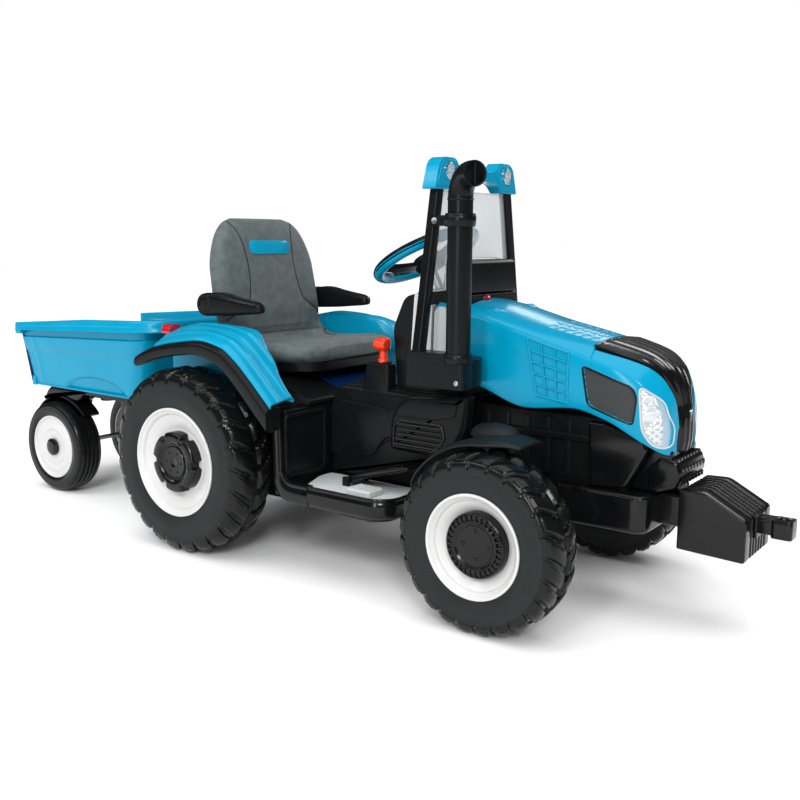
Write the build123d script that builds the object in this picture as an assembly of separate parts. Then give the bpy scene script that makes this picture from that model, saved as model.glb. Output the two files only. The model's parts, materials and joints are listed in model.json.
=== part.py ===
from build123d import *
import math
import os

os.makedirs("parts", exist_ok=True)

# Child's battery ride-on farm tractor with a two-wheel dump trailer.
# Millimetres. X forward, Y to the driver's left, Z up. While it is being drawn, the origin
# is on the ground under the rear axle; export() moves it to the middle of the whole length.

# Driving dimensions
TAIL_X = -691.0             # rear edge of the trailer's rim
HOOK_X = 1122.0             # tip of the front tow hook
WALL = 4.0                  # moulded plastic wall
RUN_FIT = 0.05              # radial clearance of every turning fit
GAP = 0.5                   # gap between pieces that move past each other

WHEELBASE = 703.0
REAR_R = 190.0              # rear tyre, over the lugs
REAR_IN = 197.0             # its inner and outer faces, from the centre line
REAR_OUT = 300.0
FRONT_R = 152.0
FRONT_IN = 204.0
FRONT_OUT = 294.0
AXLE_R = 8.0

KINGPIN_Y = 185.0
KINGPIN_R = 7.0
STEER_ARM = 50.0            # kingpin to the tie rod's pin
TIE_ROD_Z = 128.0

TRAILER_X = -620.0          # trailer axle
TRAILER_R = 114.0
TRAILER_IN = 92.0
TRAILER_OUT = 160.0
TRAILER_AXLE_R = 6.0
MID_X = (TRAILER_X - TRAILER_R + HOOK_X) / 2
HITCH_X = -150.0
HITCH_Z = 205.0
HITCH_PIN_R = 6.0

WHEEL_RAKE = 28.0           # steering wheel's tilt from level
WHEEL_CENTRE = (407.0, 0.0, 605.0)
WHEEL_RIM_R = 110.0
COLUMN_R = 8.0
COLUMN_LENGTH = 512.0

SEAT_TOP = 678.0
ROOF_TOP = 780.0
STACK_X = 603.0
STACK_Y = -185.0
STACK_R = 21.0


def box(x0, x1, y0, y1, z0, z1):
    middle = ((x0 + x1) / 2, (y0 + y1) / 2, (z0 + z1) / 2)
    return Pos(*middle) * Box(x1 - x0, y1 - y0, z1 - z0)


def soft_box(x0, x1, y0, y1, z0, z1, radius, axis=Axis.Z):
    """A box with the edges along one axis rounded."""
    body = box(x0, x1, y0, y1, z0, z1)
    return fillet(body.edges().filter_by(axis), radius)


def cylinder_y(radius, x, z, y0, y1):
    place = Pos(x, (y0 + y1) / 2, z) * Rot(90, 0, 0)
    return place * Cylinder(radius, abs(y1 - y0))


def cylinder_z(radius, x, y, z0, z1):
    return Pos(x, y, (z0 + z1) / 2) * Cylinder(radius, z1 - z0)


def side_plate(points, y0, y1):
    """Extrude an outline of (x, z) points from y0 to y1."""
    outline = Polyline(*[(x, y0, z) for x, z in points], close=True)
    return extrude(make_face(outline), amount=y1 - y0, dir=(0, 1, 0))


def front_plate(points, x0, x1):
    """Extrude an outline of (y, z) points from x0 to x1."""
    outline = Polyline(*[(x0, y, z) for y, z in points], close=True)
    return extrude(make_face(outline), amount=x1 - x0, dir=(1, 0, 0))


def plan_plate(points, z0, z1):
    """Extrude an outline of (x, y) points from z0 to z1."""
    outline = Polyline(*[(x, y, z0) for x, y in points], close=True)
    return extrude(make_face(outline), amount=z1 - z0, dir=(0, 0, 1))


def ruled(stations):
    """Loft straight between outlines; each station is x and its (y, z) points."""
    faces = [make_face(Polyline(*[(x, y, z) for y, z in points], close=True))
             for x, points in stations]
    return loft(faces, ruled=True)


def turned(points, x, z):
    """Turn a closed outline of (y, r) points about the Y line through x, z."""
    outline = Polyline(*[(x + r, y, z) for y, r in points], close=True)
    return revolve(make_face(outline), axis=Axis((x, 0, z), (0, 1, 0)))


def mirrored(shape):
    return mirror(shape, about=Plane.XZ)


def pair(shape):
    """A left and right copy as separate solids in one node."""
    return Compound(children=[*shape.solids(), *mirrored(shape).solids()])


def export(name, shape):
    moved = shape.moved(Location((-MID_X, 0, 0)))
    export_step(moved, "parts/" + name + ".step")


# Wheels. Every profile is (y, r), drawn for a right-hand wheel whose outer face is at -out.

def tyre(radius, bead, inner, outer, x):
    """A hollow tyre, open at the bead, with rounded shoulders."""
    side = (outer - inner) * 0.16
    low = radius * 0.9
    profile = [
        (-outer + side, radius), (-inner - side, radius),
        (-inner - side * 0.3, radius - side * 0.3), (-inner, low), (-inner, bead),
        (-inner - WALL, bead), (-inner - WALL, low - WALL),
        (-inner - side, radius - 2.2 * WALL), (-outer + side, radius - 2.2 * WALL),
        (-outer + WALL, low - WALL), (-outer + WALL, bead), (-outer, bead), (-outer, low),
        (-outer + side * 0.3, radius - side * 0.3),
    ]
    return turned(profile, x, radius)


def rim(radius, bead, inner, outer, hub_r, bore_r, dish, flat_r, x):
    """A barrel under the tyre, a disc dished by dish and flat to flat_r, and a hub tube."""
    barrel = bead - WALL
    disc = -outer + dish
    profile = [
        (-inner, bead), (-outer, bead), (-outer, barrel), (disc, flat_r),
        (disc, bore_r), (-inner + 2, bore_r), (-inner + 2, hub_r),
        (disc + WALL, hub_r), (disc + WALL, flat_r - 2), (-outer + WALL, barrel - WALL),
        (-outer + 2 * WALL, barrel), (-inner, barrel),
    ]
    return turned(profile, x, radius)


def hub_cap(radius, cap_r, outer, dish, stand, x):
    """A cup over the axle's end, set on the rim's disc."""
    seat = -outer + dish
    face = seat - stand
    profile = [
        (seat, cap_r), (face + 6, cap_r), (face, cap_r - 8), (face, cap_r * 0.6),
        (face + 8, cap_r * 0.52), (face + 8, 0), (face + 12, 0),
        (face + 12, cap_r * 0.5), (face + 5, cap_r * 0.62), (seat, cap_r - WALL),
    ]
    return turned(profile, x, radius)


REAR_BEAD = 111.0
REAR_DISH = 22.0
REAR_CAP_R = 62.0
FRONT_BEAD = 88.0
FRONT_DISH = 30.0
FRONT_CAP_R = 55.5
rear_bore = AXLE_R + RUN_FIT

rear_tyre = tyre(REAR_R, REAR_BEAD, REAR_IN, REAR_OUT, 0)
rear_rim = rim(REAR_R, REAR_BEAD, REAR_IN, REAR_OUT, 16, rear_bore, REAR_DISH,
               REAR_CAP_R + 2, 0)
rear_cap = hub_cap(REAR_R, REAR_CAP_R, REAR_OUT, REAR_DISH, 24, 0)
notches = [Pos(0, 0, REAR_R) * Rot(0, 60 * i + 30, 0) * Pos(REAR_CAP_R, -REAR_OUT, 0)
           * Rot(90, 0, 0) * Cylinder(9, 60) for i in range(6)]
rear_cap -= notches

front_tyre = tyre(FRONT_R, FRONT_BEAD, FRONT_IN, FRONT_OUT, WHEELBASE)
front_rim = rim(FRONT_R, FRONT_BEAD, FRONT_IN, FRONT_OUT, 16, rear_bore, FRONT_DISH,
                FRONT_CAP_R + 2, WHEELBASE)
front_cap = hub_cap(FRONT_R, FRONT_CAP_R, FRONT_OUT, FRONT_DISH, 20, WHEELBASE)

for name, shape in [("rear_tyre", rear_tyre), ("rear_rim", rear_rim),
                    ("rear_hub_cap", rear_cap), ("front_tyre", front_tyre),
                    ("front_rim", front_rim), ("front_hub_cap", front_cap)]:
    export(name + "_right", shape)
    export(name + "_left", mirrored(shape))

TRAILER_BEAD = 79.0
TRAILER_DISH = 6.0
trailer_tyre = tyre(TRAILER_R, TRAILER_BEAD, TRAILER_IN, TRAILER_OUT, TRAILER_X)
trailer_rim = rim(TRAILER_R, TRAILER_BEAD, TRAILER_IN, TRAILER_OUT, 14,
                  TRAILER_AXLE_R + RUN_FIT, TRAILER_DISH, 44, TRAILER_X)
export("trailer_tyre_right", trailer_tyre)
export("trailer_tyre_left", mirrored(trailer_tyre))
export("trailer_rim_right", trailer_rim)
export("trailer_rim_left", mirrored(trailer_rim))

# Axles
rear_rod = cylinder_y(AXLE_R, 0, REAR_R, -REAR_OUT + 12, REAR_OUT - 12)
rear_nut = cylinder_y(13, 0, REAR_R, -REAR_OUT + 15, -REAR_OUT + REAR_DISH - GAP)
rear_nut -= cylinder_y(AXLE_R, 0, REAR_R, -REAR_OUT, -REAR_OUT + 40)
export("rear_axle", Compound(children=[*rear_rod.solids(), *pair(rear_nut).solids()]))

trailer_rod = cylinder_y(TRAILER_AXLE_R, TRAILER_X, TRAILER_R,
                         -TRAILER_OUT + 1, TRAILER_OUT - 1)
axle_cap = cylinder_y(21, TRAILER_X, TRAILER_R,
                      -TRAILER_OUT - 5, -TRAILER_OUT + TRAILER_DISH - GAP)
axle_cap -= cylinder_y(TRAILER_AXLE_R, TRAILER_X, TRAILER_R,
                       -TRAILER_OUT + 1, -TRAILER_OUT + 20)
export("trailer_axle", Compound(children=[*trailer_rod.solids(), *pair(axle_cap).solids()]))

# Steering: a raked column turns a pin between two fingers of the tie rod
rake = math.radians(WHEEL_RAKE)
column_down = (math.sin(rake), 0, -math.cos(rake))
wheel_place = Pos(*WHEEL_CENTRE) * Rot(0, -WHEEL_RAKE, 0)


def column_cylinder(radius, from_wheel, to_wheel, ahead=0.0):
    """A cylinder along the column, measured down from the steering wheel's centre."""
    length = to_wheel - from_wheel
    return wheel_place * Pos(ahead, 0, -(from_wheel + to_wheel) / 2) * Cylinder(radius, length)


RIM_SECTION_R = 11.0
wheel_ring = wheel_place * Torus(WHEEL_RIM_R - RIM_SECTION_R, RIM_SECTION_R)
wheel_hub = wheel_place * Pos(0, 0, -14) * Cylinder(32, 26)
spokes = [wheel_place * Rot(0, 0, a) * Pos(62, 0, -8) * Box(76, 30, 9)
          for a in (0, 120, 240)]
steering_wheel = wheel_ring + wheel_hub + spokes
steering_wheel -= column_cylinder(COLUMN_R, 8, 60)
export("steering_wheel", steering_wheel)

CRANK_R = 22.0
column = column_cylinder(COLUMN_R, 8, COLUMN_LENGTH)
crank = wheel_place * Pos(-CRANK_R / 2, 0, -COLUMN_LENGTH + 4) * Box(CRANK_R + 14, 8, 8)
crank_pin = column_cylinder(4, COLUMN_LENGTH - 4, COLUMN_LENGTH + 32, -CRANK_R)
export("steering_column", column + crank + crank_pin)

pin_x = WHEELBASE - STEER_ARM
pin_centre_x = WHEEL_CENTRE[0] + column_down[0] * (COLUMN_LENGTH + 14) - CRANK_R * math.cos(rake)
tie_rod = box(pin_x - 8, pin_x + 8, -KINGPIN_Y, KINGPIN_Y, TIE_ROD_Z - 4, TIE_ROD_Z + 4)
finger = box(pin_centre_x - 26, pin_x - 8, 5, 13, TIE_ROD_Z - 4, TIE_ROD_Z + 4)
tie_rod += [finger, mirrored(finger)]
tie_rod -= box(pin_x - 9, pin_x - 1, -5, 5, TIE_ROD_Z - 9, TIE_ROD_Z + 9)
SLOT_HALF = 8.0
for y in (-KINGPIN_Y, KINGPIN_Y):
    tie_rod += box(pin_x - 12, pin_x + 12, y - 10, y + 10, TIE_ROD_Z - 4, TIE_ROD_Z + 4)
    tie_rod -= box(pin_x - SLOT_HALF, pin_x + SLOT_HALF, y - 5.2, y + 5.2,
                   TIE_ROD_Z - 9, TIE_ROD_Z + 9)
export("tie_rod", tie_rod)

knuckle = cylinder_z(16, WHEELBASE, -KINGPIN_Y, 108, 175.5)
knuckle += cylinder_z(KINGPIN_R, WHEELBASE, -KINGPIN_Y, 100, 232)
stop_y = -FRONT_OUT + FRONT_DISH - GAP
knuckle += cylinder_y(AXLE_R, WHEELBASE, FRONT_R, stop_y, -KINGPIN_Y)
knuckle += cylinder_y(14, WHEELBASE, FRONT_R, -FRONT_IN + 2 + GAP, -KINGPIN_Y)
arm = box(pin_x - 8, WHEELBASE, -KINGPIN_Y - 8, -KINGPIN_Y + 8, 110, TIE_ROD_Z - 4 - GAP)
knuckle += arm
knuckle += cylinder_z(4, pin_x, -KINGPIN_Y, 110, TIE_ROD_Z + 8)
knuckle += cylinder_y(13, WHEELBASE, FRONT_R, stop_y - 4, stop_y)
export("knuckle_right", knuckle)
export("knuckle_left", mirrored(knuckle))

# Front mudguards turn with the wheels, on a post over the kingpin
GUARD_R = 164.0
guard_outer = cylinder_y(GUARD_R + WALL, WHEELBASE, FRONT_R, -268, -152)
guard_inner = cylinder_y(GUARD_R, WHEELBASE, FRONT_R, -270, -150)
guard_wedge = side_plate([(WHEELBASE, FRONT_R), (WHEELBASE - 220, FRONT_R + 88),
                          (WHEELBASE - 180, 380), (WHEELBASE + 30, 380),
                          (WHEELBASE + 52, FRONT_R + 180)], -270, -150)
front_fender = (guard_outer - guard_inner) & guard_wedge
dome = Pos(WHEELBASE - 28, -172, FRONT_R + GUARD_R - 8) * scale(Sphere(1), by=(48, 38, 24))
dome -= guard_outer
front_fender += dome & box(500, 900, -240, -100, 200, 400)
post = cylinder_z(13, WHEELBASE, -KINGPIN_Y, 196, FRONT_R + GUARD_R + 2)
post -= cylinder_z(KINGPIN_R, WHEELBASE, -KINGPIN_Y, 190, 232)
front_fender += post
export("front_fender_right", front_fender)
export("front_fender_left", mirrored(front_fender))

# Lower chassis: rear box, floor pan with foot boards, front box and axle beam
BOX_HALF = 96.0
FLOOR_Z = 172.0
BOARD_IN = 118.0
BOARD_OUT = 258.0

rear_box = soft_box(-128, 236, -150, 150, 108, 302, 24)
rear_box -= box(-124, 232, -146, 146, 112, 320)
riser = box(232, 262, -BOARD_OUT, BOARD_OUT, 150, 318)
riser -= box(236, 258, -BOARD_OUT + WALL, BOARD_OUT - WALL, 146, 314)
floor_pan = plan_plate([(240, -BOARD_OUT), (478, -BOARD_OUT), (506, -BOARD_OUT + 32),
                        (506, BOARD_OUT - 32), (478, BOARD_OUT), (240, BOARD_OUT)],
                       144, 184)
floor_well = plan_plate([(262, -BOARD_OUT + 6), (476, -BOARD_OUT + 6), (500, -BOARD_OUT + 36),
                         (500, BOARD_OUT - 36), (476, BOARD_OUT - 6), (262, BOARD_OUT - 6)],
                        FLOOR_Z, 200)
under_floor = plan_plate([(244, -BOARD_OUT + WALL), (476, -BOARD_OUT + WALL),
                          (502, -BOARD_OUT + 36), (502, BOARD_OUT - 36),
                          (476, BOARD_OUT - WALL), (244, BOARD_OUT - WALL)],
                         140, FLOOR_Z - WALL)
floor_pan = floor_pan - floor_well - under_floor
front_box = soft_box(490, 912, -BOX_HALF, BOX_HALF, 160, 226, 26)
front_box -= box(494, 884, -BOX_HALF + WALL, BOX_HALF - WALL, 164, 240)
front_box -= box(494, 600, -BOX_HALF + WALL, BOX_HALF - WALL, 150, 240)
beam = box(WHEELBASE - 15, WHEELBASE + 15, -KINGPIN_Y - 12, KINGPIN_Y + 12, 176, 194)
chassis = rear_box + riser + floor_pan + front_box + beam
for side in (-1, 1):
    chassis -= cylinder_z(KINGPIN_R + RUN_FIT, WHEELBASE, side * KINGPIN_Y, 150, 210)
    chassis += box(-24, 24, *sorted((side * 146, side * 158)), 166, 214)
chassis -= cylinder_y(AXLE_R, 0, REAR_R, -170, 170)
tray = box(690, 816, -BOX_HALF + 2, BOX_HALF - 2, 220, 232)
engine_bay = soft_box(561, 868, -74, 74, 222, 340, 8) - box(565, 864, -70, 70, 218, 345)
chassis += [tray, engine_bay - box(694, 812, -53, 53, 232, 345)]
tow_plate = box(HITCH_X - 24, -120, -32, 32, HITCH_Z - 5, HITCH_Z + 5)
chassis += tow_plate
chassis -= cylinder_z(HITCH_PIN_R + RUN_FIT, HITCH_X, 0, HITCH_Z - 10, HITCH_Z + 10)
PEDAL_X = 360.0
PEDAL_Y = -160.0
PEDAL_Z = 187.0
PEDAL_PIN_R = 4.0
for y in (PEDAL_Y - 29, PEDAL_Y + 29):
    chassis += box(PEDAL_X - 8, PEDAL_X + 8, y - 2.5, y + 2.5, FLOOR_Z - 1, PEDAL_Z + 8)
chassis -= cylinder_y(PEDAL_PIN_R + RUN_FIT, PEDAL_X, PEDAL_Z, PEDAL_Y - 40, PEDAL_Y + 40)
column_hole = column_cylinder(COLUMN_R + 8, 200, COLUMN_LENGTH + 24)
chassis -= column_hole
weight_arm = box(906, 955, -36, 36, 166, 226)
chassis += weight_arm
export("chassis", chassis)

# Centre tunnel, wider behind, with a raised gear selector hump on the right
tunnel = side_plate([(262.5, FLOOR_Z), (262.5, 330), (285, 356), (560, 352), (560, 227),
                     (489, 227), (489, FLOOR_Z)], -BOARD_IN, BOARD_IN)
tunnel -= side_plate([(266.5, FLOOR_Z - 1), (266.5, 328), (287, 352), (556, 348), (556, 200),
                      (485, 200), (485, FLOOR_Z - 1)], -BOARD_IN + WALL, BOARD_IN - WALL)
LEVER_X = 382.0
LEVER_Y = -103.5
LEVER_PIVOT_Z = 380.0
hump = side_plate([(338, 350), (352, 404), (402, 404), (402, 350)], -BOARD_IN, -88.5)
tunnel += hump - box(LEVER_X - 15, LEVER_X + 15, LEVER_Y - 8.5, LEVER_Y + 8.5, 370, 410)
shoulder = side_plate([(430, 262), (430, 310), (470, 356), (600, 368), (590, 300), (540, 262)],
                      -150, -BOARD_IN)
tunnel += [shoulder, mirrored(shoulder)]
tunnel -= column_hole
export("center_tunnel", tunnel)

mat = plan_plate([(268, -BOARD_IN - 6), (268, -160), (300, -240), (470, -240), (490, -222),
                  (484, -BOARD_IN - 6)], FLOOR_Z, FLOOR_Z + 5)
mat += box(396, 452, -236, -192, FLOOR_Z + 5, FLOOR_Z + 16)
foot_mats = mirrored(mat) + (mat - box(344, 376, -200, -120, 170, 180))
export("foot_mats", foot_mats)

pedal = side_plate([(PEDAL_X - 6, PEDAL_Z - 4), (PEDAL_X - 6, PEDAL_Z + 6), (470, 228),
                    (496, 232), (500, 226), (470, 216), (PEDAL_X + 10, PEDAL_Z - 5)],
                   PEDAL_Y - 26, PEDAL_Y + 26)
pedal += cylinder_y(6, PEDAL_X, PEDAL_Z, PEDAL_Y - 26, PEDAL_Y + 26)
pedal += cylinder_y(PEDAL_PIN_R, PEDAL_X, PEDAL_Z, PEDAL_Y - 31, PEDAL_Y + 31)
export("accelerator_pedal", pedal)

# Rear body under the seat, and the rear fenders
FENDER_T = 7.0
FENDER_OUT = 290.0
FENDER_IN = 180.0
rear_body = side_plate([(-112, 302.5), (-112, 352), (-70, 368), (150, 368), (262, 330),
                        (262, 318.5), (230, 318.5), (230, 302.5)], -FENDER_IN, FENDER_IN)
rear_body -= side_plate([(-108, 300), (-108, 349), (-68, 364), (149, 364), (258, 327),
                         (258, 322.5), (226, 322.5), (226, 300)], -FENDER_IN + WALL,
                        FENDER_IN - WALL)
export("rear_body", rear_body)

# x, height at the outer edge, height at the crest, height at the inner edge
FENDER_LINE = [(-124, 392, 402, 404), (-95, 408, 432, 436), (-50, 425, 450, 456),
               (20, 438, 462, 466), (75, 444, 460, 464), (135, 434, 448, 458),
               (172, 412, 424, 430), (205, 384, 392, 400), (262, 330, 336, 342)]


def fender_ribbon(line, outer, inner, thick):
    crest = (outer + inner) / 2
    stations = []
    for x, z_out, z_mid, z_in in line:
        stations.append((x, [(-outer, z_out), (-crest, z_mid), (-inner, z_in),
                             (-inner, z_in - thick), (-crest, z_mid - thick),
                             (-outer, z_out - thick)]))
    return ruled(stations)


fender = fender_ribbon(FENDER_LINE, FENDER_OUT, FENDER_IN, FENDER_T)
web_top = [(x, z_in - FENDER_T / 2) for x, _, _, z_in in FENDER_LINE[1:-1]]
side_web = side_plate(web_top + [(205, 330), (-95, 330)], -FENDER_IN - WALL, -FENDER_IN)
fender += side_web
export("fender_right", fender)
export("fender_left", mirrored(fender))

liner_line = [(x, z_out - 9, z_out - 9, z_out - 9) for x, z_out, _, _ in FENDER_LINE]
liner = fender_ribbon(liner_line, 298, 262, 12)
export("fender_liners", pair(liner))

tail_lamp = soft_box(-112, -84, -226, -190, 430, 458, 9, Axis.Y)
tail_lamp -= fender
hood_lamp = Pos(552, -20, 534) * Box(26, 42, 8)
export("red_lamps", Compound(children=[tail_lamp.solids().sort_by(Axis.Z)[-1],
                                       mirrored(tail_lamp).solids().sort_by(Axis.Z)[-1],
                                       *hood_lamp.solids()]))

# Hood: one shell, cut into its panel, nose grille, headlamps and side grilles
# x, half width, lower edge, shoulder height, crown height
HOOD_LINE = [(500, 104, 396, 518, 539), (588, 105, 382, 506, 524), (690, 105, 352, 480, 499),
             (780, 105, 360, 456, 480), (840, 104, 346, 437, 466), (885, 97, 322, 418, 452),
             (915, 84, 304, 392, 430), (931, 66, 294, 366, 402), (939, 44, 291, 336, 372)]


def hood_solid(inset):
    stations = []
    for x, half, low, shoulder, crown in HOOD_LINE:
        half -= inset
        low -= 30 if inset else 0
        top = crown - inset
        edge = shoulder - inset
        waist = (low + shoulder) / 2 if not inset else (low + 30 + shoulder) / 2
        stations.append((x - inset, [(-half, low), (-half, waist), (-half + 6, edge),
                                     (-half * 0.62, top - 5), (0, top),
                                     (half * 0.62, top - 5), (half - 6, edge),
                                     (half, waist), (half, low)]))
    return ruled(stations)


hood = hood_solid(0) - hood_solid(WALL)
hood -= box(400, 500 + WALL, -90, 90, 300, 512)
grille_zone = plan_plate([(806, -86), (880, -72), (906, -64), (925, -54), (960, -49),
                          (960, 49), (925, 54), (906, 64), (880, 72), (806, 86)], 250, 520)
lamp_outline = [(893, 404), (898, 330), (914, 306), (938, 303), (938, 340), (926, 380)]
lamp_zone = side_plate(lamp_outline, -120, -58)
panel_outline = [(793, 436), (880, 405), (889, 388), (884, 338), (806, 368)]
panel_zone = side_plate(panel_outline, -120, -70)
nose_grille = (hood & grille_zone).solids().sort_by(SortBy.VOLUME)[-1]
hood -= grille_zone
headlight = (hood & lamp_zone).solids().sort_by(SortBy.VOLUME)[-1]
side_grille = (hood & panel_zone).solids().sort_by(SortBy.VOLUME)[-1]
for zone in (lamp_zone, panel_zone):
    hood -= zone
    hood -= mirrored(zone)
hood -= hood_lamp
export("hood", hood)
export("nose_grille", nose_grille)
export("headlights", pair(headlight))
export("side_grilles", pair(side_grille))

bumper = side_plate([(912, 227), (948, 240), (955, 262), (948, 284), (918, 290), (896, 268),
                     (896, 227)], -60, 60)
bumper -= box(880, 935, -56, 56, 220, 284)
export("nose_bumper", bumper)

weight = side_plate([(955, 142), (1066, 137), (1065, 205), (995, 243), (955, 241)], -66, 66)
weight -= side_plate([(950, 150), (1058, 145), (1057, 200), (991, 235), (950, 233)], -58, 58)
weight += box(955, 961, -66, 66, 150, 236)
export("front_weight", weight)

hook = box(1066, HOOK_X - 18, -18, 18, 173, 203) + cylinder_z(18, HOOK_X - 18, 0, 173, 203)
HOOK_HOLE_R = 7.0
hook -= cylinder_z(HOOK_HOLE_R, HOOK_X - 18, 0, 170, 210)
export("tow_hook", hook)

battery = soft_box(694, 812, -52, 52, 232, 318, 4)
battery += [soft_box(706, 722, y - 8, y + 8, 318, 326, 2) for y in (-30, 30)]
export("battery", battery)

gearmotor = soft_box(-40, 56, -144, -104, 140, 238, 12, Axis.Y)
gearmotor += cylinder_y(18, 34, 212, -104, -46)
gearmotor -= cylinder_y(AXLE_R, 0, REAR_R, -160, -40)
gearmotor -= box(-20, 20, -104, -40, REAR_R - 12, REAR_R + 12)
export("gearmotors", pair(gearmotor))

# Dash, windscreen, roof bar and exhaust
dash = side_plate([(404, 356), (392, 470), (420, 532), (500, 552), (510, 602), (556, 600),
                   (560, 540), (560, 352)], -88, 88)
dash -= side_plate([(408, 350), (396, 468), (424, 528), (504, 548), (514, 598), (550, 596),
                    (553, 536), (553, 350)], -84, 84)
dash -= hood_solid(0)
dash -= hood_lamp + box(538, 566, -42, 2, 526, 539)
dash += column_cylinder(15, 66, 128)
dash -= column_cylinder(COLUMN_R + RUN_FIT, 20, 200)
dash -= column_hole & box(300, 700, -60, 60, 300, 400)
export("dash_cowl", dash)

dash_trim = side_plate([(478, 392), (486, 520), (499, 520), (499, 392)], -104, -88)
export("dash_trim", pair(dash_trim))

PILLAR_W = 20.0
pillar_face = [(-190, 384), (-166, 384), (-108, 724), (-128, 724)]
pillar = front_plate(pillar_face, 500, 500 + PILLAR_W)
export("windscreen_frame", pair(pillar))

windscreen = front_plate([(-148, 545), (-116, 722.5), (116, 722.5), (148, 545)], 508, 512)
windscreen -= pillar
windscreen -= mirrored(pillar)
windscreen -= box(500, 520, -88 - GAP, 88 + GAP, 540, 602 + GAP)
export("windscreen", windscreen)

roof_bar = front_plate([(-142, 724), (-126, 772), (-112, 780), (-76, 780), (-62, 764),
                        (62, 764), (76, 780), (112, 780), (126, 772), (142, 724), (86, 724),
                        (70, 740), (-70, 740), (-86, 724)], 492, 524)
lamp_seat = Pos(524, 99, 756) * Rot(0, 90, 0) * Cylinder(14, 12)
roof_bar -= [lamp_seat, mirrored(lamp_seat)]
export("roof_bar", roof_bar)
work_lamp = Pos(521.5, -99, 756) * Rot(0, 90, 0) * Cylinder(14, 7)
export("work_lights", pair(work_lamp))

bracket = box(498, 624, -204, -167, 386, 446) + box(520, 624, -172, -105.5, 386, 430)
bracket -= pillar
right_bracket = bracket - cylinder_z(STACK_R, STACK_X, STACK_Y, 430, 500)
left_bracket = mirrored(bracket - box(540, 640, -220, -150, 380, 450))
export("pillar_brackets", Compound(children=[*right_bracket.solids(), *left_bracket.solids()]))

STACK_BEND = 36.0
STACK_TOP = 742.0
ELBOW_LEAD = 12.0
outlet = (0.87, -0.49)
outlet_length = math.hypot(*outlet)
out_x, out_y = (value / outlet_length for value in outlet)
bend_z = STACK_TOP - STACK_BEND
bend_axis = Axis((STACK_X + out_x * STACK_BEND, STACK_Y + out_y * STACK_BEND, bend_z),
                 (-out_y, out_x, 0))
outlet_plane = Plane(origin=(STACK_X + out_x * STACK_BEND, STACK_Y + out_y * STACK_BEND,
                             STACK_TOP), z_dir=(out_x, out_y, 0))


def stack_pipe(radius, bottom):
    """A straight pipe, a right-angle bend and a short outlet, as a solid rod."""
    ring = Plane(origin=(STACK_X, STACK_Y, bend_z)) * Circle(radius)
    rod = cylinder_z(radius, STACK_X, STACK_Y, bottom, bend_z)
    rod += revolve(ring, axis=bend_axis, revolution_arc=90)
    rod += extrude(outlet_plane * Circle(radius), amount=ELBOW_LEAD)
    return rod


stack = stack_pipe(STACK_R, 430) - stack_pipe(STACK_R - WALL, 434)
clamp = cylinder_z(STACK_R + 5, STACK_X, STACK_Y, 658, 680)
clamp -= cylinder_z(STACK_R, STACK_X, STACK_Y, 650, 690)
clamp_arm = plan_plate([(516, -138), (516, -126), (584, -160), (590, -172)], 660, 678)
clamp_arm -= pillar
clamp_arm -= cylinder_z(STACK_R + 1, STACK_X, STACK_Y, 650, 690)
stack += clamp + clamp_arm
export("exhaust_stack", stack)

# Gear selector, with its ball knob
lever = cylinder_z(7, LEVER_X, LEVER_Y, LEVER_PIVOT_Z, 436)
lever += Pos(LEVER_X, LEVER_Y, 440) * Sphere(13)
lever += cylinder_y(7, LEVER_X, LEVER_PIVOT_Z, LEVER_Y - 7.5, LEVER_Y + 7.5)
export("gear_lever", lever)

# Seat: shell, pad and swinging armrests, all on one slide
SEAT_WALL = 5.0
pan = [(-54, 396), (206, 392), (232, 402), (240, 424), (230, 438), (190, 440), (70, 430),
       (36, 438), (22, 470), (-6, 600), (-16, 640), (-26, 668), (-42, SEAT_TOP), (-62, 672),
       (-74, 640), (-58, 520), (-60, 440)]
seat_side = side_plate(pan, -172, 172)
front_view = [(-166, 386), (-172, 400), (-168, 436), (-148, 468), (-152, 505), (-152, 530),
              (-151, 570), (-142, 610), (-130, 642), (-108, 668), (-82, SEAT_TOP + 1)]
seat_front = front_plate(front_view + [(-y, z) for y, z in reversed(front_view)], -140, 260)
seat_plan = plan_plate([(-140, -172), (160, -172), (214, -158), (242, -120), (242, 120),
                        (214, 158), (160, 172), (-140, 172)], 380, 700)
seat_pad = seat_side & seat_front & seat_plan
seat_pad -= offset(seat_pad, amount=-SEAT_WALL)
seat_pad -= box(-30, 190, -110, 110, 380, 404)
export("seat_pad", seat_pad)
SEAT_BASE_TOP = 391.7
seat_base = plan_plate([(-50, -140), (150, -150), (200, -130), (222, -100), (222, 100),
                        (200, 130), (150, 150), (-50, 140)], 372.0, SEAT_BASE_TOP)
seat_base -= box(-44, 210, -96, 96, 360, SEAT_BASE_TOP - 6)
export("seat_base", seat_base)

ARM_PIVOT = (-22.0, 500.0)
ARM_IN = 154.0
ARM_OUT = 186.0
ARM_REAR_R = 24.0
armrest = cylinder_y(ARM_REAR_R, *ARM_PIVOT, -ARM_OUT, -ARM_IN)
armrest += side_plate([(-22, 524), (20, 524), (84, 513), (126, 506), (133, 498), (126, 488),
                       (40, 478), (-22, 476)], -ARM_OUT, -ARM_IN)
export("armrest_right", armrest)
export("armrest_left", mirrored(armrest))

# Trailer
TUB_FLOOR = 269.0
tub_stations_outer = [(TUB_FLOOR, -676, -265, 165), (440, -682, -205, 192)]


def tub_solid(inset, lift):
    faces = []
    for z, x0, x1, half in tub_stations_outer:
        z += lift
        points = [(x0 - (30 if inset else 0), -half + inset, z),
                  (x1 - inset, -half + inset, z), (x1 - inset, half - inset, z),
                  (x0 - (30 if inset else 0), half - inset, z)]
        faces.append(make_face(Polyline(*points, close=True)))
    return loft(faces, ruled=True)


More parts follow.
